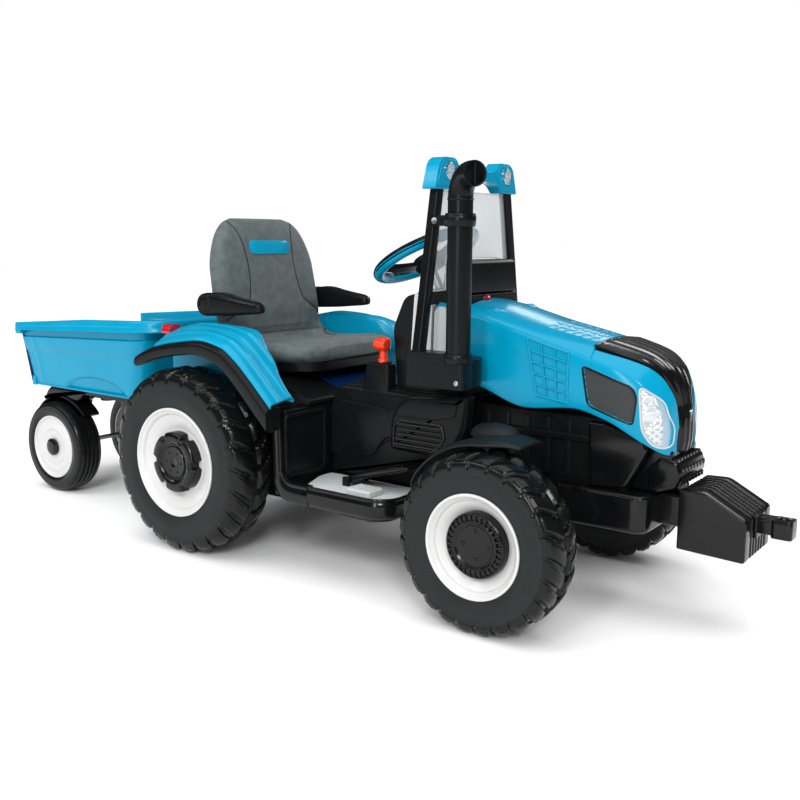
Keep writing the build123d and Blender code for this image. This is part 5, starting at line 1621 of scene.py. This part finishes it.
def makeLowerBody():
    # rear gear casing, front box, motor bay with its side panels, axle beam, tow plate and ears
    rear = [softBlock((-128, -149, 108), (236, 149, 302), 10, 26)]
    for side in (-1, 1):
        rear.append(softBlock((-24, side * 146, 166), (24, side * 158, 214), 2, 8, "y"))
        for x in (-96, 92, 196):
            rear.append(softBlock((x - 7, side * 148.4, 130), (x + 7, side * 152.5, 288), 1.5, 3, "y"))
    rear.append(softBlock((-174, -32, 200), (-118, 32, 210), 2, 8))
    makePiece("rear.casing", rear, [satinBlack], sharpAngle=50)
    front = [softBlock((494, -96, 160), (912, 96, 226), 9, 28)]
    band = roundedLoop([(640, -96.8), (912.8, -96.8), (912.8, 96.8), (640, 96.8)], 28, 8)
    front.append(softSlab(band, 216, 221, radius=1.2))
    front.append(softBlock((686, -197, 174), (720, 197, 195), 4, 8))
    for side in (-1, 1):
        for x in (704, 748, 792):
            front.append(softBlock((x - 9, side * 95, 221), (x + 9, side * 98.4, 229), 1, 2, "z"))
        front.append(disc((703, side * 185, 195), 15, 4, "z", 40, 0, 1))
    front.append(softBlock((906, -36, 168), (957, 36, 226), 5, 8, "x"))
    makePiece("front.box.rounded", front, [glossBlack], sharpAngle=50)
    bay = [softBlock((561, -74, 222), (868, 74, 345), 4, 10)]
    for side in (-1, 1):
        panel = roundedLoop([(806, 228), (870, 232), (905, 300), (898, 318), (830, 338), (800, 338)],
                            [4, 10, 8, 4, 4, 4], 5)
        bay.append(softSlab(panel, *sorted((side * 72, side * 86)), "y", 5, 1))
        for x in (600, 640, 680, 720, 760):
            bay.append(softBlock((x - 5, side * 73, 236), (x + 5, side * 77, 336), 1.5, 3, "y"))
        bay.append(softBlock((566, side * 70, 300), (800, side * 80, 312), 2, 4, "y"))
    nose = roundedLoop([(868, 226), (914, 226), (936, 262), (938, 300), (900, 322), (868, 330)], 8, 5)
    bay.append(softSlab(nose, -58, 58, "y", 6, 1))
    makePiece("motor.bay.panels", bay, [satinBlack, glossBlack], sharpAngle=50)
    ears = [softBlock((352, -160 + s * 29 - 2.5, 171), (368, -160 + s * 29 + 2.5, 195), 1, 5, "y")
            for s in (-1, 1)]
    makePiece("pedal.ears", ears, [satinBlack], sharpAngle=50)


def makeTunnel():
    # the tunnel's side outline carried across, its stepped top ribs, bulging shoulders, louvres
    half = 118.0
    outline = roundedLoop([(263, 172), (263, 330), (285, 356), (560, 352), (560, 228), (490, 228),
                           (490, 172)],
                          [2, 16, 14, 4, 6, 10, 6], 7)
    parts = [softSlab(outline, -half, half, "y", 9)]
    for side in (-1, 1):
        for i, y in enumerate((103, 88, 73)):
            top = 357.5 + 2.2 * i
            rib = roundedLoop([(276 + 3 * i, 346), (292 + 3 * i, top), (560, top - 4), (560, 346)],
                              [4, 8, 2, 2], 4)
            parts.append(softSlab(rib, *sorted((side * (y - 8), side * (y + 6))), "y", 2.0))
        shell = roundedLoop([(428, 250), (430, 310), (446, 338), (470, 357), (598, 368), (592, 300),
                             (566, 258), (540, 246)],
                            [8, 10, 10, 10, 8, 16, 12, 10], 6)
        parts.append(softSlab(shell, *sorted((side * 112, side * 147)), "y", 10))
        wave = [(266, 214), (286, 212), (300, 236), (330, 240), (352, 222), (372, 226), (398, 262),
                (428, 268), (428, 318), (300, 326), (266, 318)]
        parts.append(softSlab(roundedLoop(wave, 9, 6), *sorted((side * 112, side * 121.5)), "y", 2.5))
        cover = roundedLoop([(444, 316), (530, 316), (576, 326), (580, 352), (476, 348), (452, 334)], 9, 6)
        parts.append(softSlab(cover, *sorted((side * 143, side * 149)), "y", 2.5))
        tray = roundedLoop([(438, 256), (530, 256), (556, 284), (548, 310), (452, 310), (438, 296)], 7, 6)
        parts.append(skirted(tray, [(0, side * 144), (0, side * 149), (-1.5, side * 150),
                                    (-3.5, side * 150), (-5, side * 148.5), (-5, side * 141)], "y", 1))
        for i in range(5):
            z = 261 + i * 9.6
            slat = softBlock((442 + 1.5 * i, side * 145, z), (547 + 1.5 * min(i, 2) - 2 * max(0, i - 2),
                                                              side * 150.2, z + 5.2),
                             1.6, 2.4, finish=1)
            parts.append(slat)
    makePiece("center.tunnel.ribbed", parts, [satinBlack, glossBlack], stands=["center_tunnel"],
              sharpAngle=50)
    hump = roundedLoop([(338, 344), (350, 402), (356, 405), (398, 405), (403, 400), (403, 344)],
                       [2, 8, 4, 6, 6, 2], 5)
    gate = roundedLoop([(366, -95), (398, -95), (398, -112), (366, -112)], 3, 4)
    bits = [softSlab(hump, -117, -89, "y", 5), softSlab(gate, 404.2, 407, "z", 0.8, 1)]
    bits.append(softBlock((369, -107, 406), (395, -100, 407.6), 0.3, 2, "z", 2))
    makePiece("selector.hump", bits, [satinBlack, glossBlack, seamBlack], sharpAngle=50)


def makeLever():
    # a tapering upright stem, a collar and a round knob with a flat ring
    pivot = jointPlace["gear_select"] - origin
    run = np.linspace(0, 1, 20)
    parts = [tube(stack3(pivot[0], pivot[1], pivot[2] + 52 * run), 8.4 - 1.6 * run, 28)]
    parts.append(softBlock(pivot + [-13, -13, 47.5], pivot + [12, 13, 72.5], 6, 10))
    parts.append(tube([pivot + [-12, -9, 60], pivot + [0, -9, 60], pivot + [13, -9, 60]], [8, 11, 8], 28))
    parts.append(tube(stack3(pivot[0], pivot[1], pivot[2] + np.array([24.0, 26, 30, 32.0])),
                      [8.4, 10, 10, 8.4], 32))
    parts.append(softBlock(pivot - [6, 7, 7], pivot + [6, 7, 7], 2, 4, "y"))
    makePiece("gear.lever.knob", parts, [leverOrange], "gear_lever", ["gear_lever"],
              sharpAngle=50)


def makeFloorMats():
    # grey mats with a raised block and ribs, and the pedal hinged at its heel with a ribbed tread
    parts = []
    for side in (-1, 1):
        outline = np.array([(268, 124), (268, 160), (300, 240), (468, 240), (489, 222),
                            (484, 124)]) * [1, side]
        parts.append(softSlab(roundedLoop(outline, 9, 6), 171.5, 177, radius=1.2))
        parts.append(softBlock((396, side * 192, 176), (452, side * 236, 188.5), 3, 7))
        for i in range(6):
            x = 404 + i * 8.4
            parts.append(softBlock((x - 1.6, side * 196, 187.5), (x + 1.6, side * 232, 190), 0.6, 1.2))
        for i in range(7):
            x = 306 + i * 12
            if side > 0:
                parts.append(softBlock((x - 2, side * 136, 176), (x + 2, side * 228, 178.6), 0.7, 1.6))
    makePiece("foot.mats.ribbed", parts, [plainGrey], "tractor", ["foot_mats"], sharpAngle=50)
    plate = roundedLoop([(353, 183), (353, 192), (402, 211), (470, 228), (497, 232.5), (501, 226),
                         (470, 216), (404, 199), (370, 182)], [3, 5, 30, 20, 4, 4, 20, 30, 4], 6)
    pedal = [softSlab(plate, -186, -134, "y", 3.5)]
    for i in range(9):
        t = i / 8
        x, z = 392 + 92 * t, 206.5 + 24 * t
        pedal.append(softBlock((x - 2, -182, z - 2), (x + 2, -138, z + 2.2), 0.8, 1.4))
    pedal.append(tube([(360, -191, 187), (360, -160, 187), (360, -129, 187)], 6, 28, finish=1))
    makePiece("accelerator.pedal.ribbed", pedal, [glossBlack, drawnSteel], "pedal",
              ["accelerator_pedal"], sharpAngle=50)


def makeFrontEnd():
    # toothed bumper, the ribbed ballast weight with a smooth near cheek, and the hook
    outline = roundedLoop([(898, 228), (912, 227), (948, 240), (955, 262), (948, 284), (918, 290),
                           (897, 268)], 7, 6)
    parts = [softSlab(outline, -60, 60, "y", 6)]
    for x, z, count in ((925, 289, 8), (944, 284, 8), (952.5, 268, 8), (951, 248, 8)):
        for y in np.linspace(-50, 50, count):
            parts.append(softBlock((x - 6, y - 4.2, z - 5), (x + 2.4, y + 4.2, z + 3.6), 1.2, 2.4, "x"))
    makePiece("nose.bumper.toothed", parts, [glossBlack], stands=["nose_bumper"], sharpAngle=50)
    side = np.array([(955, 142), (1065, 137.5), (1064.5, 206), (996, 242.5), (955, 240.5)])
    full = roundedLoop(side, [3, 5, 5, 8, 3], 6)
    slim = offsetLoop(alongLoop(full, 160, closed=True), -4.5)
    plates = [(-66, -40), (-33, -25), (-18, -10), (-3, 5), (12, 20), (27, 35), (42, 66)]
    weight = [softSlab(full, y0, y1, "y", 2.4) for y0, y1 in plates]
    weight.append(softSlab(slim, -62, 62, "y", 2))
    makePiece("front.weight.ribbed", weight, [glossBlack], stands=["front_weight"], sharpAngle=50)
    low, high = boxOf("tow_hook")
    eye = high[0] - 18
    turn = np.linspace(0, 2 * math.pi, 48, endpoint=False)[None, :]
    square = roundedLoop([(eye - 16, -17), (eye + 17, -17), (eye + 17, 17), (eye - 16, 17)], 6, 12)
    outer = alongLoop(square, 48, closed=True)
    start = np.argmin(np.abs(outer[:, 1]) + (outer[:, 0] < eye) * 99)
    outer = np.roll(outer, -start, axis=0)
    hole = np.stack([eye + 7 * np.cos(turn[0]), 7 * np.sin(turn[0])], axis=-1)
    if (outer[6, 1] - outer[0, 1]) < 0:
        outer = np.roll(outer[::-1], 1, axis=0)
    inset = outer * 0.96 + np.array([eye, 0]) * 0.04
    rows = [stack3(hole[:, 0], hole[:, 1], low[2]), stack3(inset[:, 0], inset[:, 1], low[2])]
    rows += [stack3(outer[:, 0], outer[:, 1], low[2] + 2), stack3(outer[:, 0], outer[:, 1], high[2] - 2),
             stack3(inset[:, 0], inset[:, 1], high[2])]
    lip = np.stack([eye + 8.2 * np.cos(turn[0]), 8.2 * np.sin(turn[0])], axis=-1)
    rows += [stack3(lip[:, 0], lip[:, 1], high[2]), stack3(hole[:, 0], hole[:, 1], high[2] - 1.2)]
    hook = [patch(np.stack(rows), wrapRows=True, wrapColumns=True)]
    hook.append(softBlock((1062, -14, low[2] + 3), (eye - 12, 14, high[2] - 3), 2.5, 4, "x"))
    for y in (-10.5, -3.5, 3.5, 10.5):
        hook.append(softBlock((1064, y - 2, high[2] - 4), (eye - 12, y + 2, high[2] + 0.4), 0.8, 1.2, "x"))
    hook.append(softBlock((1062, -22, low[2] - 4), (1069, 22, high[2] + 4), 2, 5, "x"))
    makePiece("tow.hook.ribbed", hook, [glossBlack], stands=["tow_hook"], sharpAngle=50)


makeFootShell()
makeLowerBody()
makeTunnel()
makeLever()
makeFloorMats()
makeFrontEnd()
print("lower body ready")


tubShape = {"floor": 269.0, "top": 440.0, "rear": (-676.0, -682.0), "front": (-265.0, -205.0),
            "half": (165.0, 192.0), "corner": 46.0, "wall": 4.0, "strip": 6.0, "archDepth": 6.5,
            "archAt": (-432.0, 118.0), "rimOut": 201.0, "rimIn": 185.0}


def tubAt(height, inset=0.0, count=190):
    # the plan line at one height: up one side, round the front, back down the other
    t = (height - tubShape["floor"]) / (tubShape["top"] - tubShape["floor"])
    rear, front, half = (a + (b - a) * t for a, b in (tubShape["rear"], tubShape["front"],
                                                      tubShape["half"]))
    corners = [(rear, -half + inset), (front - inset, -half + inset), (front - inset, half - inset),
               (rear, half - inset)]
    return alongLoop(roundedLoop(corners, tubShape["corner"], 14, closed=False), count)


def rimHeight(x):
    # lower and upper edge of the rim band, which climbs towards the front
    return np.interp(x, [-691, -176], [407, 430]), np.interp(x, [-691, -420, -176], [426, 447, 457])


def makeTub():
    # side walls: straight taper plus relief: a strip set back under the rim, one long crease,
    # and an arch pressed in above the floor: depth * smoothStep of the distance inside an ellipse
    level = np.unique(np.concatenate([np.linspace(0, 1, 60), np.linspace(0.84, 0.9, 12),
                                      [0.005, 0.012, 0.02]]))
    rows = []
    for v in level:
        line = tubAt(tubShape["floor"] + v * (tubShape["top"] - 14 - tubShape["floor"]))
        z = tubShape["floor"] + v * (rimHeight(line[:, 0])[0] + 2 - tubShape["floor"])
        line = tubAt(float(z.mean())) if v > 0.02 else line
        onSide = smoothStep(-np.abs(line[:, 0] + 470), -200, -170)
        arch = 1 - np.hypot((line[:, 0] - tubShape["archAt"][0]) / tubShape["archAt"][1], v / 0.27)
        out = -tubShape["strip"] * smoothStep(np.full(len(line), v), 0.86, 0.885)
        out -= tubShape["archDepth"] * smoothStep(arch, 0.0, 0.14) * onSide
        out += 4.2 * (smoothStep(np.full(len(line), v), 0.58, 0.70) - 1)
        out -= 3.0 * (1 - smoothStep(np.full(len(line), v), 0.0, 0.03))
        ridge = np.abs(line[:, 0] + 640)
        out += 1.6 * smoothStep(-ridge, -7, -4) * smoothStep(np.full(len(line), v), 0.03, 0.08) * (v < 0.85)
        normal = np.gradient(line, axis=0)
        normal /= np.linalg.norm(normal, axis=1, keepdims=True)
        line = line + np.stack([normal[:, 1], -normal[:, 0]], axis=-1) * out[:, None]
        rows.append(stack3(line[:, 0], line[:, 1], z))
    walls = patch(np.stack(rows)[:, ::-1], wrapColumns=False)
    makePiece("trailer.tub.walls", [walls], [shellBlue], "trailer", ["trailer_tub"],
              solid=tubShape["wall"], sharpAngle=60)
    bed = tubAt(tubShape["floor"] + 1, 2.0, 120)
    parts = [softSlab(bed, tubShape["floor"] - 0.0, tubShape["floor"] + 5, radius=1.5)]
    for y in np.linspace(-128, 128, 9):
        parts.append(softBlock((-664, y - 7, tubShape["floor"] + 3), (-286, y + 7, tubShape["floor"] + 9),
                               2, 5))
    # rim: a closed section (out from the inner line, share of the band's height) run round the tub
    section = [(0, 0.16), (0, 0.86), (1.6, 0.97), (4, 1.0), (11, 1.0), (14, 0.95), (15.6, 0.8), (16, 0.5),
               (16, 0.22), (17, 0.16), (17, 0.04), (15.5, 0.0), (8, 0.0), (4, 0.08)]
    half, far = tubShape["rimIn"], -211.0
    inner = roundedLoop([(-689, -half + 1), (far, -half - 1), (far, half + 1), (-689, half - 1)], 38, 14,
                        closed=False)
    inner = alongLoop(inner, 200)
    normal = np.gradient(inner, axis=0)
    normal /= np.linalg.norm(normal, axis=1, keepdims=True)
    normal = np.stack([normal[:, 1], -normal[:, 0]], axis=-1)
    rows = []
    for out, share in section:
        line = inner + normal * out
        widen = np.where(line[:, 0] > far, (line[:, 0] - far) / 17 * 34 + far, line[:, 0])
        low, high = rimHeight(np.clip(line[:, 0], -691, -176))
        rows.append(stack3(np.where(line[:, 0] > far, widen, line[:, 0]), line[:, 1], low
                           + share * (high - low)))
    rim = np.stack(rows, axis=1)
    parts.append(patch(rim, wrapColumns=True, capEnds=True))
    for side in (-1, 1):
        # the rear corner's step with its two upright lines
        parts.append(softBlock((-690.5, side * 184, 399), (-668, side * 200.5, 424), 2, 4))
        for x in (-684, -677):
            parts.append(softBlock((x - 1.4, side * 199, 403), (x + 1.4, side * 201.4, 421), 0.5, 1))
        parts.append(softBlock((-681, side * 158, 268), (-666, side * 167.5, 292), 2, 5))
    makePiece("trailer.tub.rim", parts, [shellBlue], "trailer", sharpAngle=50)


def makeTailgate():
    # leaning leaf with a raised rolled edge, three pressed panels, latches, lugs and pins, all in navy: the
    # blue plastic with painted shade
    def onLeaf(y, z, out):
        return stack3(-682.5 - 6.5 * (z - 272) / 132 - out, y, z)

    parts = []
    v = np.linspace(0, 1, 46)[:, None]
    u = np.linspace(-1, 1, 150)[None, :]
    z = 273 + 130.5 * v + 0 * u
    y = u * (165 + 16.5 * v)
    panel = np.zeros_like(y)
    for middle, half in ((-98, 44), (0, 44), (98, 44)):
        inside = np.minimum(half - np.abs(y - middle), 46 - np.abs(z - 338))
        panel = np.maximum(panel, smoothStep(inside, 0, 6))
    edge = smoothStep(np.minimum((1 - np.abs(u)) * 170, np.minimum(v, 1 - v) * 130), 0, 5)
    front = onLeaf(y, z, -0.5 + 1.2 * edge - 2.2 * panel)
    back = onLeaf(y, z, -7.4 - 0.5 * edge + 1.0 * panel)
    ring = np.concatenate([front, back[:, ::-1]], axis=1)
    parts.append(patch(ring, wrapColumns=True, capEnds=True))
    for side in (-1, 1):
        parts.append(softBlock((-685.8, side * 131, 397), (-680.2, side * 169, 405.3), 1.2, 3))
        parts.append(softBlock((-682.3, side * 88, 262), (-673.7, side * 99.5, 276), 1.2, 3, "y"))
        parts.append(tube([(-678, side * 88, 262), (-678, side * 100, 262), (-678, side * 114.8, 262)], 4.0,
                          24))
        parts.append(tube([(-678, side * 88, 262), (-678, side * 94, 262), (-678, side * 99.5, 262)], 4.5,
                          24))
        curve = stack3(np.interp(np.linspace(0, 1, 30), [0, 0.3, 1], [-676.5, -681, -688]),
                       side * (165 + 16 * np.linspace(0, 1, 30)), 273 + 129 * np.linspace(0, 1, 30))
        parts.append(tube(curve, 1.6, 14))
    makePiece("tailgate.pressed", parts, [paintedShadeNavy], "tailgate", ["tailgate"], sharpAngle=50)


trailerArch = {"from": 42, "to": 141, "outer": 128, "inner": 121, "bead": 124.4, "inY": 84, "outY": 132}


def makeTrailerFrame():
    # bed plate, legs to the axle, rolled arches over the wheels, drawbar and pivot ears
    axle = jointPlace["trailer_roll_right"] - origin
    arch = trailerArch
    parts = [softBlock((-672, -128, 249), (-270, 128, 268.5), 5, 16)]
    for side in (-1, 1):
        leg = roundedLoop([(-640, 264), (-644, 150), (-638, 100), (-602, 100), (-594, 150), (-560, 264)],
                          [2, 20, 12, 12, 20, 2], 6)
        parts.append(softSlab(leg, *sorted((side * 69, side * 85)), "y", 3))
        parts.append(disc((axle[0], side * 84.5, axle[2]), 16, side * 2.4, "y", 40, 0, 0))
        turn = np.radians(np.linspace(arch["from"], arch["to"], 60))
        outer, inner = (np.stack([axle[0] + r * np.cos(turn), axle[2] + r * np.sin(turn)], axis=-1)
                        for r in (arch["outer"], arch["inner"]))
        across = sorted((side * arch["inY"], side * arch["outY"]))
        parts.append(softSlab(np.vstack([outer, inner[::-1]]), *across, "y", 2.6, 0, 260))
        for y in (128.0, 88.0):
            arc = stack3(axle[0] + arch["bead"] * np.cos(turn), side * y, axle[2]
                         + arch["bead"] * np.sin(turn))
            parts.append(tube(arc, 3.5 if y > 100 else 3.0, 14))
        gusset = roundedLoop([(-690, 226), (-664, 262), (-540, 262), (-512, 262), (-548, 228), (-600, 240),
                              (-650, 240)],
                             [4, 20, 4, 4, 20, 20, 20], 6)
        parts.append(softSlab(gusset, *across, "y", 6))
        parts.append(tube([(-478, side * 92, 262), (-478, side * 92, 250), (-478, side * 92, 240)],
                          [22, 22, 17], 40))
        parts.append(softBlock((-684.5, side * 100.4, 254.3), (-664, side * 111.6, 267.8), 1.5, 3, "y"))
    bar = roundedLoop([(-336, 262), (-334, 242), (-226, 211.5), (-136, 211.5), (-136, 221.5), (-222, 221.5),
                       (-268, 262)],
                      [3, 8, 20, 4, 4, 18, 4], 6)
    parts.append(softSlab(bar, -16, 16, "y", 3))
    for side in (-1, 1):
        parts.append(tube([(-330, side * 12, 244), (-228, side * 12, 213.5), (-160, side * 12, 213.5)], 3,
                          12))
    makePiece("trailer.frame.rolled", parts, [glossBlack], "trailer", ["trailer_chassis"],
              sharpAngle=50)
    low, high = boxOf("hitch_pin")
    pinX = (low[0] + high[0]) / 2
    run = np.array([188, 189.5, 191, 206, 222.0])
    pin = [tube(stack3(pinX, 0, run), [4.2, 5.4, 6, 6, 6], 32)]
    head = np.array([222, 222.6, 224, 228, 229.4, 230.0])
    pin.append(tube(stack3(pinX, 0, head), [11.2, 11.8, 12, 12, 11.6, 10.6], 40))
    makePiece("hitch.pin.turned", pin, [drawnSteel], "hitch_pin", ["hitch_pin"], sharpAngle=50)


makeTub()
makeTailgate()
makeTrailerFrame()
print("trailer ready")

def makeFloor():
    # one level sheet far wider than the view
    half = 14000.0
    across = np.linspace(-half, half, 9)
    x, y = np.meshgrid(across, across, indexing="ij")
    points = (stack3(x, y, 0.0) + origin) / 1000
    mesh = bpy.data.meshes.new("studioFloor")
    mesh.from_pydata(points.reshape(-1, 3).tolist(), [], gridFaces(9, 9).tolist())
    floor = bpy.data.objects.new("studioFloor", mesh)
    bpy.context.scene.collection.objects.link(floor)
    mesh.materials.append(floorPale)


def makeLight(name, place, target, size, watts):
    data = bpy.data.lights.new(name, "AREA")
    data.shape = "RECTANGLE"
    data.size, data.size_y = size
    data.energy = watts
    lamp = bpy.data.objects.new(name, data)
    bpy.context.scene.collection.objects.link(lamp)
    lamp.location = place
    aim = Vector(target) - Vector(place)
    lamp.rotation_euler = aim.to_track_quat("-Z", "Y").to_euler()


def makeSun(name, direction, strength, spread):
    # parallel light, the same all over the floor; spread is its width in degrees
    data = bpy.data.lights.new(name, "SUN")
    data.energy = strength
    data.angle = math.radians(spread)
    lamp = bpy.data.objects.new(name, data)
    bpy.context.scene.collection.objects.link(lamp)
    lamp.location = direction
    lamp.rotation_euler = Vector(direction).to_track_quat("Z", "Y").to_euler()


airSetup = {"fill": 0.44, "base": 0.08, "backdrop": 0.92}


def makeAir(tree):
    # a white backdrop where it is seen directly, and a dimmer one as a light
    back = tree.nodes["Background"]
    back.inputs["Color"].default_value = (1.0, 1.0, 1.0, 1.0)
    path = tree.nodes.new("ShaderNodeLightPath")
    fill = mathNode(tree, "MULTIPLY_ADD", path.outputs["Is Diffuse Ray"], airSetup["fill"])
    fill.node.inputs[2].default_value = airSetup["base"]
    strength = mathNode(tree, "ADD", fill, mathNode(tree, "MULTIPLY", path.outputs["Is Camera Ray"],
                                                    airSetup["backdrop"]))
    tree.links.new(strength, back.inputs["Strength"])


floorPale = makeFinish("floorPale", (0.88, 0.88, 0.88), (0.89, 0.89, 0.89), 0.8, 0.85, 20, 0.02,
                       wear=0, dust=0, scratch=0, ior=1.0, patchScale=0.4)
makeFloor()
world = bpy.data.worlds.new("studioAir")
bpy.context.scene.world = world
world.use_nodes = True
makeAir(world.node_tree)
# suns: direction, strength, width in degrees; panels: place, target, size, watts
sunSetup = {"skySun": ((0.10, -0.10, 1.0), 1.65, 60),
            "keySun": ((0.62, -0.75, 0.66), 1.15, 14)}
panelSetup = {"keyPanel": ((1.0, -3.3, 1.6), (0.2, 0, 0.35), (0.45, 2.6), 46),
              "stripPanel": ((-1.6, -2.6, 2.6), (0, 0, 0.3), (3.4, 0.3), 30),
              "rimPanel": ((0.4, 3.0, 2.2), (0, 0, 0.3), (3.0, 0.5), 22)}
for name, values in sunSetup.items():
    makeSun(name, *values)
for name, values in panelSetup.items():
    makeLight(name, *values)

cameraSetup = {"place": (1.29145, -1.55101, 0.64226), "azimuth": 36.31, "elevation": 9.66,
               "roll": 0.38, "lens": 43.35}


def makeCamera():
    # looks back along its own direction, built from azimuth, elevation and a small roll
    a, e = (math.radians(cameraSetup[k]) for k in ("azimuth", "elevation"))
    back = Vector((math.sin(a) * math.cos(e), -math.cos(a) * math.cos(e), math.sin(e)))
    right = Vector((math.cos(a), math.sin(a), 0.0))
    up = back.cross(right)
    turn = Matrix.Rotation(math.radians(cameraSetup["roll"]), 3, back)
    right, up = turn @ right, turn @ up
    data = bpy.data.cameras.new("camera")
    data.lens = cameraSetup["lens"]
    data.sensor_width = 36.0
    camera = bpy.data.objects.new("camera", data)
    bpy.context.scene.collection.objects.link(camera)
    camera.matrix_world = Matrix(((right.x, up.x, back.x, cameraSetup["place"][0]),
                                  (right.y, up.y, back.y, cameraSetup["place"][1]),
                                  (right.z, up.z, back.z, cameraSetup["place"][2]),
                                  (0, 0, 0, 1)))
    bpy.context.scene.camera = camera


bpy.context.scene.view_settings.view_transform = "Standard"
bpy.context.scene.view_settings.gamma = 0.93
makeCamera()
print("stage ready")
